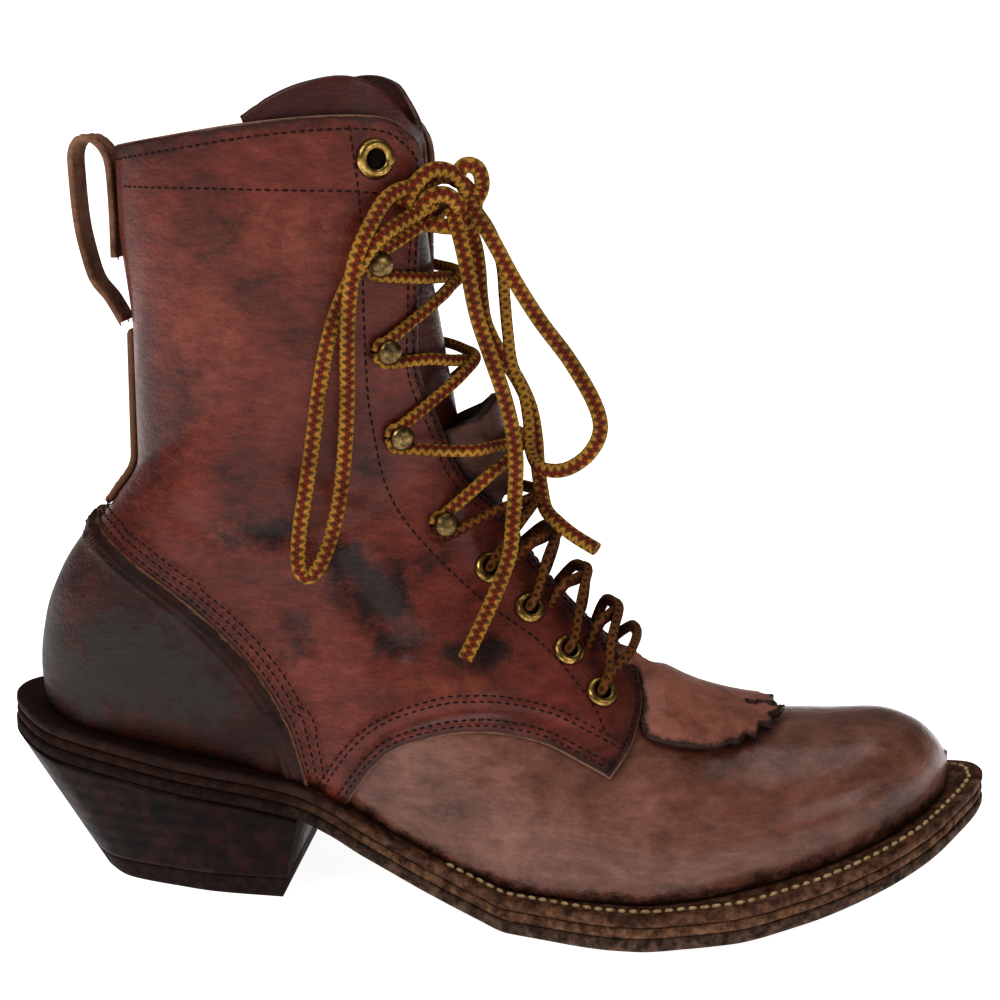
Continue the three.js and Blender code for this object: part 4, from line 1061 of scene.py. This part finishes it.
def makeFittingTree():
    tree, given = newTree("lace fittings", [("Fitting", "NodeSocketObject"), ("Metal", "NodeSocketMaterial")])
    shape = addNode(tree, "GeometryNodeObjectInfo", {"Object": given["Fitting"]}).outputs["Geometry"]
    turn = addNode(tree, "FunctionNodeAlignRotationToVector", {"Vector": outward(tree)}, axis="Z").outputs[0]
    return endTree(tree, given["Geometry"], shape, turn, None, given["Metal"])


stitchTree, fittingTree = makeStitchTree(), makeFittingTree()


def setOut(name, tree, lines, settings):
    points, normals, edges = [], [], []
    for line, out in lines:
        edges += [(len(points) + k, len(points) + k + 1) for k in range(len(line) - 1)]
        points += list(line)
        normals += list(out)
    mesh = bpy.data.meshes.new(name)
    mesh.from_pydata(toRow(points).tolist(), edges, [])
    mesh.attributes.new("out", "FLOAT_VECTOR", "POINT").data.foreach_set("vector", np.array(normals).ravel())
    carrier = addObject(name + " seam", mesh)
    modifier = carrier.modifiers.new(tree.name, "NODES")
    modifier.node_group = tree
    for item in tree.interface.items_tree:
        if item.item_type == "SOCKET" and item.name in settings:
            modifier[item.identifier] = settings[item.name]
    graph = bpy.context.evaluated_depsgraph_get()
    piece = addObject(name, bpy.data.meshes.new_from_object(carrier.evaluated_get(graph)))
    carrier.modifiers.remove(modifier)
    bpy.data.objects.remove(carrier)
    return piece


def formSeam(curve, offset, relief=None):
    points, normals = skin(*curve.T, offset)
    if relief:
        points = points + normals * relief(formPoints(*curve.T), normals)[:, None]
    return points, normals


def stitch(name, lines, slot, thread="thread", spacing=2.6, length=2.1, thickness=0.75):
    piece = setOut(name, stitchTree, lines, {"Spacing": spacing * mm, "Length": length * mm,
                                             "Thickness": thickness * mm, "Thread": finish[thread]})
    finishPiece(piece, finish[thread], slot)
    print(name, len(piece.data.polygons))


seamRows = [
    [[0.373, 0.955], [0.381, 0.869], [0.383, 0.795], [0.386, 0.641], [0.391, 0.577], [0.404, 0.498],
     [0.435, 0.442], [0.495, 0.384], [0.555, 0.348], [0.604, 0.297], [0.622, 0.262]],
    [[0.150, 0.806], [0.234, 0.835], [0.327, 0.864], [0.381, 0.880], [0.429, 0.886]],
]
# Rows beside an outline: the line, how far in from it, and which way is in on the outer side
edgeRows = [("rim", (4.2,), 1), ("facing", (1.8, 4.0), 1), ("quarterFront", (2.0,), -1),
            ("vampEdge", (2.2, 3.9, 9.4, 11.2), -1)]
vampRaised = 0.3
counterSeams = {"steps": (1.9, 4.35, 6.8), "raised": 0.25, "fromBack": 8}


def makeSeams(side, word):
    curves = [onForm(throughShares(shares), side) for shares in seamRows]
    rows = [formSeam(curve, offsets["quarter"], creaseRelief) for curve in curves]
    for lineName, steps, sign in edgeRows:
        line = formLines[lineName, side]
        height = offsets["quarter"] + (vampRaised if lineName == "vampEdge" else 0)
        for step in steps:
            row = moved(line, -side * sign * step)[2:-2]
            rows.append(formSeam(row, height, creaseRelief))
    stitch(word + "_quarter_stitches", rows, "quarter")
    line = formLines["counterEdge", side]
    rows = []
    for step in counterSeams["steps"]:
        row = moved(line, side * step)[3:-6]
        row = row[np.abs(formPoints(*row.T)[:, 1]) > counterSeams["fromBack"]]
        rows.append(formSeam(row, offsets["counter"] + counterSeams["raised"]))
    stitch(word + "_counter_stitches", rows, "counter")


makeSeams(-1, "outer")
makeSeams(1, "inner")


# Kiltie: it comes out from under the facings, stands up towards its top and ends in a pinked flap
kiltieStand = smoothCurve([0, 5, 7, 9, 11, 13, 15, topRow], [0, 0, 0.2, 1.2, 3.2, 5.6, 7.6, 8])
kiltieSizes = {"thick": 2.4, "under": 1.6, "rise": 2.8, "slope": 7, "spacing": 1.6, "edge": 1.1,
               "teeth": 7.5, "tooth": 4.2, "toothMiddle": 0.35, "teethFrom": 228, "teethOver": 10,
               "foldAt": 0.585, "foldX": 0.45, "frontZ": 62, "tucked": 0.3, "crown": 0.5, "shadeFrom": 70,
               "shadeOver": 14}
kiltieFold = kiltieSizes["foldAt"] * boot["legHeight"] + footLine(kiltieSizes["foldX"] * boot["length"])
standByX = smoothCurve([0, 146, 149, 153, 160, 168, 179, 191, 205, 312],
                       [7.4, 7.4, 7.0, 5.8, 4.0, 2.6, 1.4, 0.6, 0.2, 0])


def pinked(curve):
    points = formPoints(*curve.T)
    wave = (runAlong(points) / kiltieSizes["teeth"]) % 1
    front = np.clip((points[:, 0] - kiltieSizes["teethFrom"]) / kiltieSizes["teethOver"], 0, 1)
    side = -1 if curve[0, 1] < 0.5 else 1
    return moved(curve, side * (wave - kiltieSizes["toothMiddle"]) * kiltieSizes["tooth"] * front)


def makeKiltie():
    edges, hidden = [], []
    for side in (-1, 1):
        facing, front = formLines["facing", side], formLines["quarterFront", side]
        facing = facing[formPoints(*facing.T)[:, 2] < kiltieFold]
        front = front[formPoints(*front.T)[:, 2] > kiltieSizes["frontZ"]]
        back = joined(facing, front[::-1])
        back = moved(back, kiltieSizes["tucked"] * side)
        flap = formLines["kiltieFlap", side][::-1][1:]
        flap = np.vstack([flap[:6], pinked(flap[6:])])
        edges.append(joined(back, flap))
        hidden.append(fineLine(back))
    low, high = edges
    shares = np.linspace(0.15, 0.85, 8)[:, None]
    crown = high[:1] + (low[:1] - high[:1]) * shares
    crown[:, 0] += kiltieSizes["crown"] * 4 * (shares * (1 - shares))[:, 0]
    outline = [(joined(low, high[::-1], crown, low[:1]), False)]

    def bulge(points, normals):
        away = distanceTo(points, hidden)
        share = np.clip(away / kiltieSizes["slope"], 0, 1)
        share = share * share * (3 - 2 * share)
        return share * (kiltieSizes["rise"] + standByX(points[:, 0]))

    # painted shade: the kiltie darkens from a little above its flap upwards, where it runs under the laces
    # between the facings; the seam mark carries it
    def dark(points, normals, d):
        return np.clip((points[:, 2] - kiltieSizes["shadeFrom"]) / kiltieSizes["shadeOver"], 0, 1) * 0.9
    return panel("kiltie_flap", outline, kiltieSizes["under"], kiltieSizes["thick"],
                 spacing=kiltieSizes["spacing"], edge=kiltieSizes["edge"], relief=bulge,
                 values={"seam": dark, "stain": fading((0.9, 1.4))})


finishPiece(makeKiltie(), finish["kiltie"], "kiltie", "kiltie")


tongueSizes = {"outer": -offsets["wall"] - soleSizes["gap"], "thickness": 2.4, "spacing": 2.6, "edge": 1.1}


def makeTongue():
    low, high = (joined(formLines["tongueBack", s], formLines["tongueTop", s]) for s in (-1, 1))
    outline = [(joined(low, high[::-1], low[:1]), False)]
    return panel("tongue_leather", outline, **tongueSizes)


finishPiece(makeTongue(), finish["tongue"], "tongue", "tongue")
print("upper done")


# Lace fittings: share of the length and of the leg height, as in the part's source
fittings = {
    "eyelet_top": (0.395, 0.925), "hook_1": (0.395, 0.794), "hook_2": (0.402, 0.684),
    "hook_3": (0.413, 0.574), "hook_4": (0.456, 0.466), "eyelet_1": (0.502, 0.424),
    "eyelet_2": (0.542, 0.386), "eyelet_3": (0.581, 0.346), "eyelet_4": (0.615, 0.308)}
fittingSizes = {
    "eyelet": [(2.1, -3.6), (2.1, 0.5), (2.3, 1.0), (2.8, 1.4), (3.5, 1.45), (4.2, 1.2), (4.8, 0.6),
               (5.0, 0.1), (4.6, 0.0), (2.9, -0.1), (2.6, -3.6)],
    "topEyelet": [(2.8, -3.6), (2.8, 0.5), (3.0, 1.1), (3.6, 1.55), (4.4, 1.6), (5.2, 1.3), (5.8, 0.6),
                  (6.0, 0.1), (5.6, 0.0), (3.6, -0.1), (3.3, -3.6)],
    "bore": [(0, 0.1), (2.7, 0.1), (2.7, 0.3), (0, 0.3)],
    "plate": [(0, -0.2), (4.0, -0.2), (4.4, 0.3), (4.0, 0.9), (1.7, 1.1), (1.5, 4.2), (0, 4.2)],
    "dome": [(0, 4.0), (3.0, 4.0), (3.6, 4.2), (3.8, 4.7), (3.5, 5.4), (2.7, 6.0), (1.5, 6.35), (0, 6.5)],
}


def lathe(name, profile, sides=36):
    mesh = bpy.data.meshes.new(name)
    angles = 2 * np.pi * np.arange(sides) / sides
    points = [(r * math.cos(a) * mm, r * math.sin(a) * mm, h * mm) for r, h in profile for a in angles]
    mesh.from_pydata(points, [], ringFaces(len(profile), sides, profile[0][0] > 0))
    mend(mesh, 1e-6, outward=True)
    return addObject(name, mesh)


seats = {}
for fitName, (fitAt, fitRise) in fittings.items():
    for fitSide in (-1, 1):
        fitX = fitAt * boot["length"]
        spot = onForm([(fitX, footLine(fitX) + fitRise * boot["legHeight"])], fitSide)[0]
        seatPoint, seatNormal = skin(*spot, offsets["quarter"])
        seatUp = np.array([0, 0, 1]) - seatNormal * seatNormal[2]
        seatUp /= np.linalg.norm(seatUp)
        seats[fitName, fitSide] = {"row": spot[0], "turn": spot[1], "point": seatPoint, "out": seatNormal,
                                   "up": seatUp, "front": -fitSide * np.cross(seatUp, seatNormal)}


def setFittings(name, shape, places, metal, slot, nodes=()):
    source = lathe(name + " shape", fittingSizes[shape])
    lines = [([seats[key]["point"]], [seats[key]["out"]]) for key in places]
    piece = setOut(name, fittingTree, lines, {"Fitting": source, "Metal": finish[metal]})
    bpy.data.objects.remove(source)
    finishPiece(piece, finish[metal], slot, *nodes)


sideWords = {-1: "lateral", 1: "medial"}
smallEyelets = [key for key in seats if key[0].startswith("eyelet") and key[0] != "eyelet_top"]
topEyelets = [key for key in seats if key[0] == "eyelet_top"]
hookSeats = [key for key in seats if key[0].startswith("hook")]
nodesOf = lambda keys: [f"{name}_{sideWords[side]}" for name, side in keys]
setFittings("brass_eyelets", "eyelet", smallEyelets, "brass", "brass", nodesOf(smallEyelets))
setFittings("collar_eyelets", "topEyelet", topEyelets, "brass", "brass", nodesOf(topEyelets))
# painted shade: a near-black disc in each eyelet stands in for the dark of its hole
setFittings("eyelet_bores", "bore", smallEyelets + topEyelets, "bore", "brass")
setFittings("hook_plates", "plate", hookSeats, "iron", "antique")
setFittings("hook_domes", "dome", hookSeats, "antique", "antique", nodesOf(hookSeats))
print("fittings done")


# Lacing: each crossing is two strands, which wind round the hooks and come out of the eyelets
strandSizes = {"width": 3.8, "height": 3.0, "neck": 3.4, "onHook": 2.5, "over": 2.8, "onFacing": 1.9,
               "onKiltie": 1.8, "aboveFold": 2, "climbFrom": 0.13, "climbOver": 0.05, "bow": 0.06,
               "shares": (0.22, 0.36, 0.5, 0.64, 0.78)}
# Rows by which each crossing and each bar sags at the throat's middle
middleDrop = [-0.05, -0.55, -0.6, -0.25, 0, 0, 0]
barDrop = {"top": 0.35, "low": -0.2}
laced = list(fittings)[1:]
kiltieTopZ = kiltieFold + 0.04 * boot["legHeight"]


def strandHeight(row, turn):
    size = strandSizes
    facing = offsets["quarter"] + size["onFacing"]
    over = sum(kiltieSizes[k] for k in ("under", "rise", "thick")) + size["onKiltie"] + kiltieStand(row)
    if skin(row, 0.5, over)[0][2] > kiltieTopZ + size["aboveFold"]:
        return facing
    climb = np.clip((size["climbFrom"] - abs(turn - 0.5)) / size["climbOver"], 0, 1)
    return facing + (over - facing) * climb


def around(key, degrees, reach, height):
    seat, angle = seats[key], math.radians(degrees)
    return (seat["point"] + seat["front"] * math.cos(angle) * reach + seat["up"] * math.sin(angle) * reach
            + seat["out"] * height)


def overThroat(start, end, drop, extra):
    a, b = seats[start], seats[end]
    points = []
    for share in strandSizes["shares"]:
        bend = math.sin(math.pi * share)
        late = share + strandSizes["bow"] * math.sin(2 * math.pi * share)
        row = a["row"] + (b["row"] - a["row"]) * late + drop * bend
        turn = a["turn"] + (b["turn"] - a["turn"]) * share
        height = strandHeight(row, turn) + extra * bend ** 6
        points.append(skin(row, turn, height)[0])
    return points


def leaving(key, upward):
    size = strandSizes
    if key[0].startswith("hook"):
        angles = (178, 130, 84) if upward else (-178, -130, -84)
        return [around(key, angle, size["neck"], size["onHook"]) for angle in angles]
    if upward:
        return [around(key, 0, 0, -1.2), around(key, 90, 0.5, 1.8), around(key, 60, 4.0, 3.6)]
    return [around(key, 0, 9.0, -2.4), around(key, 5, 8.0, -1.2)]


def strand(start, end, drop, extra, endUpward):
    way = leaving(start, True) + overThroat(start, end, drop, extra) + leaving(end, endUpward)[::-1]
    return sweep("strand", catmull(way, 1.0), strandSizes["width"], strandSizes["height"],
                 up=seats[start]["out"])[0]


def join(name, parts, node, lace="lace"):
    bm = bmesh.new()
    for part in parts:
        bm.from_mesh(part.data)
    mesh = bpy.data.meshes.new(name)
    bm.to_mesh(mesh)
    bm.free()
    piece = addObject(name, mesh)
    for part in parts:
        bpy.data.objects.remove(part)
    finishPiece(piece, finish[lace], "lace", node)


def makeLacing():
    for k, (upper, lower) in enumerate(zip(laced[:-1], laced[1:])):
        parts = []
        for side in (-1, 1):
            extra = strandSizes["over"] if side < 0 else 0
            parts.append(strand((lower, side), (upper, -side), middleDrop[k], extra, False))
        join(f"crossing_lace_{k + 1}", parts, f"lace_crossing_{k + 1}", "lowLace" if k > 2 else "lace")
    for word, seat, lace in (("top", "hook_1", "lace"), ("low", "eyelet_4", "lowLace")):
        parts = [strand((seat, -1), (seat, 1), barDrop[word], 0, True)]
        join("bar_lace_" + word, parts, "lace_bar_" + word, lace)


makeLacing()

# Knot: the turns of lace that make the bow
knotSizes = {"width": 4.8, "height": 3.8}
knotTurns = [
    [(131, -24, 216), (134, -23.5, 222), (139, -20.5, 226.5), (144.5, -17, 225.5), (148, -14.5, 220),
     (147.5, -13, 213.5)],
    [(133.5, -22.5, 213.5), (138, -22.5, 218.5), (143, -20.5, 219.5), (146.5, -18.5, 216),
     (146.5, -17, 211)],
    [(144, -12, 222), (147.5, -14, 227.5), (151.5, -12.5, 226.5), (152.5, -11.5, 221),
     (149.5, -14, 215.5), (145, -16, 212)],
    [(134, -15, 211), (139, -18.5, 210.5), (144.5, -18, 210), (149, -13, 211.5), (151, -6, 213)],
    [(136, -14, 222), (140, -8, 224), (146, -4, 222), (150, -5, 216), (147, -9, 211)],
]
knotParts = [sweep("knot turn", catmull(way, 0.8), **knotSizes)[0] for way in knotTurns]
join("bow_knot", knotParts, "lace_knot")
print("lacing done")


# Backstay and pull loop, along the back seam
strapSizes = {"outer": offsets["kiltie"] + 2.2, "thickness": 2.1, "spacing": 2.0, "edge": 0.9}
strapPlace = {"at": 0.1, "from": 0.345, "to": 0.595, "half": 6.8, "seam": 4.8, "sunk": 0.15, "steps": 60}
pullPlace = {"inset": 1.3, "seam": 4.4, "raised": 1.05}
pullSizes = {"width": 12.6, "height": 2.4, "sides": 20, "power": 0.45}
pullShares = [[0.124, 0.610], [0.111, 0.636], [0.096, 0.657], [0.087, 0.693], [0.081, 0.733], [0.078, 0.786],
              [0.078, 0.825], [0.088, 0.848], [0.106, 0.853], [0.121, 0.832], [0.125, 0.78], [0.126, 0.70]]
fineThread = 0.55


def backRow(share):
    z = footLine(strapPlace["at"] * boot["length"]) + share * boot["legHeight"]
    rows = np.linspace(14, topRow, 400)
    return np.interp(z, formPoints(rows, 0)[:, 2], rows)


def makeBackstay():
    steps = strapPlace["steps"]
    ends = backRow(strapPlace["from"]), backRow(strapPlace["to"])
    line = np.stack([np.linspace(*ends, steps), np.zeros(steps)], 1)
    left, right = (moved(line, sign * strapPlace["half"]) for sign in (-1, 1))
    outline = [(joined(left, right[::-1], left[:1]), False)]
    piece = panel("back_strap", outline, **strapSizes, domain=backDomain, values={"raw": fading((0.6, 1.0))})
    finishPiece(piece, finish["strap"], "strap", "backstay")
    height = strapSizes["outer"] - strapPlace["sunk"]
    rows = [formSeam(moved(line, sign * strapPlace["seam"])[2:-2], height) for sign in (-1, 1)]
    stitch("backstay_stitches", rows, "strap", thickness=fineThread)


def makePullLoop():
    flat = throughShares(pullShares, 1.5)
    tangent = unit(np.gradient(flat, axis=0))
    away = np.stack([-tangent[:, 1], np.zeros(len(flat)), tangent[:, 0]], 1)
    line = np.stack([flat[:, 0], np.zeros(len(flat)), flat[:, 1]], 1) - away * pullPlace["inset"]
    piece, _ = sweep("heel_pull", line, **pullSizes, up=away[0])
    finishPiece(piece, finish["strap"], "strap", "pull_loop")
    rows = [(line + away * pullPlace["raised"] + np.array([0, by, 0]), away)
            for by in (-pullPlace["seam"], pullPlace["seam"])]
    stitch("pull_loop_stitches", rows, "strap", thickness=fineThread)


makeBackstay()
makePullLoop()


# Sole: rings along the length, each a list of (inset, height) down the edge
def edgeAt(turn, inset):
    x = boot["length"] * (1 - np.cos(turn)) / 2
    sides = []
    for side, share in ((-1, lateralShare), (1, medialShare)):
        y = side * boot["ballWidth"] * share(turn)
        line = np.stack([x, y], 1)
        along = unit(np.gradient(line, axis=0))
        at = line + np.stack([side * along[:, 1], -side * along[:, 0]], 1) * inset
        at[0] = (inset, 0)
        at[-1] = (boot["length"] - inset, line[-1, 1])
        sides.append(at)
    return sides


def loftRings(name, rings):
    rings = np.asarray(rings)
    piece = addMesh(name, rings.reshape(-1, 3), ringFaces(*rings.shape[:2]))
    mend(piece.data, 0.00003, close=True, outward=True)
    return piece


def makeSoleLayer(name, bottom, top, profile, steps=260, across=6):
    turn = np.linspace(0, np.pi, steps + 1)
    down, up = [], []
    for inset, share in profile:
        for column, line in zip((down, up), edgeAt(turn, inset)):
            low, high = bottom(line[:, 0]), top(line[:, 0])
            column.append(np.column_stack([line, low + (high - low) * share]))
    up = up[::-1]
    fill = lambda p, q: [p + (q - p) * s for s in np.linspace(0, 1, across + 2)[1:-1]]
    return loftRings(name, np.stack(down + fill(down[-1], up[0]) + up + fill(up[-1], down[0]), 1))


edgeProfile = {
    "outsole": [(0.9, 1), (0.3, 0.93), (0, 0.75), (0, 0.35), (0.4, 0.1), (1.2, 0)],
    "midsole": [(1.0, 1), (0.45, 0.9), (0.3, 0.5), (0.5, 0.12), (1.0, 0)],
    "welt": [(2.4, 1), (0.9, 0.97), (0.35, 0.8), (0.25, 0.45), (0.6, 0.12), (1.2, 0)],
}
outsoleTop = lambda x: soleBottom(x) + soleSizes["outsole"]
midsoleTop = lambda x: outsoleTop(x) + soleSizes["gap"] + soleSizes["midsole"]
gap = soleSizes["gap"]
layers = {
    "outsole": (soleBottom, outsoleTop),
    "midsole": (lambda x: outsoleTop(x) + gap * 0.3, midsoleTop),
    "welt": (lambda x: midsoleTop(x) + gap * 0.3, soleTop),
}
for layerName, (layerBottom, layerTop) in layers.items():
    layer = makeSoleLayer(layerName + "_edge", layerBottom, layerTop, edgeProfile[layerName])
    finishPiece(layer, finish[layerName], layerName, layerName)

heelSizes = {"back": 28, "breast": 93, "rake": 6, "baseShare": 0.6, "baseSpread": 0.21, "topLift": 7}


def makeHeel(name, low, high, levels):
    front = heelSizes["breast"] + heelSizes["rake"]
    turn = np.linspace(0, math.acos(1 - 2 * front / boot["length"]), 90)
    a, b = edgeAt(turn, 0.0)
    a[-1] = (front, -boot["ballWidth"] * lateralShare(turn[-1]))
    b[-1] = (front, boot["ballWidth"] * medialShare(turn[-1]))
    rings = []
    for p, q in zip(a, b):
        ring = []
        for edgePoint, heights in ((p, np.linspace(1, 0, levels)), (q, np.linspace(0, 1, levels))):
            share = edgePoint[0] / front
            base = np.array([heelSizes["back"] + share * (heelSizes["breast"] - heelSizes["back"]),
                             edgePoint[1] * (heelSizes["baseShare"] + share * heelSizes["baseSpread"]), 0])
            seat = np.array([edgePoint[0], edgePoint[1], soleBottom(edgePoint[0])])
            lowZ, highZ = low(edgePoint[0]), high(edgePoint[0])
            for h in heights:
                z = lowZ + (highZ - lowZ) * h
                ring.append(base + (seat - base) * z / seat[2])
        rings.append(ring)
    return loftRings(name, rings)


heel = makeHeel("heel_block", lambda x: heelSizes["topLift"], lambda x: soleBottom(x) - 0.1, 24)
lift = makeHeel("heel_tread", lambda x: 0.0, lambda x: heelSizes["topLift"] - gap * 0.6, 6)
finishPiece(heel, finish["heel"], "heel", "heel_stack")
finishPiece(lift, finish["outsole"], "outsole", "top_lift")
weltSeam = {"inset": 4.3, "from": 1.5, "to": 3.05, "raised": 0.15}
weltStitch = {"spacing": 3.5, "length": 3.0, "thickness": 1.5}
weltTurn = np.linspace(0, np.pi, 500)
weltRows = []
for weltLine in edgeAt(weltTurn, weltSeam["inset"]):
    weltLine = weltLine[(weltTurn > weltSeam["from"]) & (weltTurn < weltSeam["to"])]
    weltRows.append(np.column_stack([weltLine, soleTop(weltLine[:, 0]) + weltSeam["raised"]]))
weltRow = resample(np.vstack([weltRows[0], weltRows[1][::-1]]), 1.0)
weltUp = np.tile([0.0, 0.0, 1.0], (len(weltRow), 1))
stitch("welt_stitches", [(weltRow, weltUp)], "welt", "paleThread", **weltStitch)
print("sole done")


# Floor and light: a floor that glows more towards its far parts, three area lamps round the boot
studio = {"reach": 4000, "glowFrom": (0.2, 0.7), "glow": (0.78, 1.05), "sky": (0.1, 1.05),
          "aim": (156, 0, 120)}
lamps = {"key": ((-350, -800, 900), 0.5, 3.6), "fill": ((900, -700, 500), 0.4, 1.2),
         "top": ((150, 100, 1200), 0.9, 3.4)}


def makeStudio():
    reach = studio["reach"]
    floor = addMesh("floor", [(-reach, -reach, 0), (reach, -reach, 0), (reach, reach, 0), (-reach, reach, 0)],
                    [(0, 1, 2, 3)], smooth=False)
    material, tree, shader = newMaterial("pale studio floor")
    shader.inputs["Base Color"].default_value = linear("#e4e4e3")
    shader.inputs["Roughness"].default_value = 0.9
    shader.inputs["Emission Color"].default_value = (1, 1, 1, 1)
    place = addNode(tree, "ShaderNodeTexCoord").outputs["Object"]
    away = addNode(tree, "ShaderNodeVectorMath", {0: place}, operation="LENGTH").outputs["Value"]
    glow = ranged(tree, away, studio["glowFrom"], studio["glow"], interpolation_type="SMOOTHSTEP")
    tree.links.new(glow, shader.inputs["Emission Strength"])
    floor.data.materials.append(material)
    world = bpy.data.worlds.new("studio")
    bpy.context.scene.world = world
    world.use_nodes = True
    sky = world.node_tree
    seen = addNode(sky, "ShaderNodeLightPath").outputs["Is Camera Ray"]
    shade = sky.nodes["Background"].inputs
    shade["Color"].default_value = (1, 1, 1, 1)
    sky.links.new(ranged(sky, seen, (0, 1), studio["sky"]), shade["Strength"])
    for name, (at, size, power) in lamps.items():
        data = bpy.data.lights.new(name, "AREA")
        data.size, data.energy = size, power
        lamp = addObject(name, data)
        spot = Vector(toRow(at))
        aim = (spot - Vector(toRow(studio["aim"]))).to_track_quat("Z", "Y")
        lamp.matrix_world = Matrix.Translation(spot) @ aim.to_matrix().to_4x4()


makeStudio()
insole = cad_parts["insole"]
insole.data.materials.clear()
insole.data.materials.append(finish["insole"])
bpy.context.scene.view_settings.view_transform = "Standard"
bpy.context.scene.view_settings.look = "Medium High Contrast"
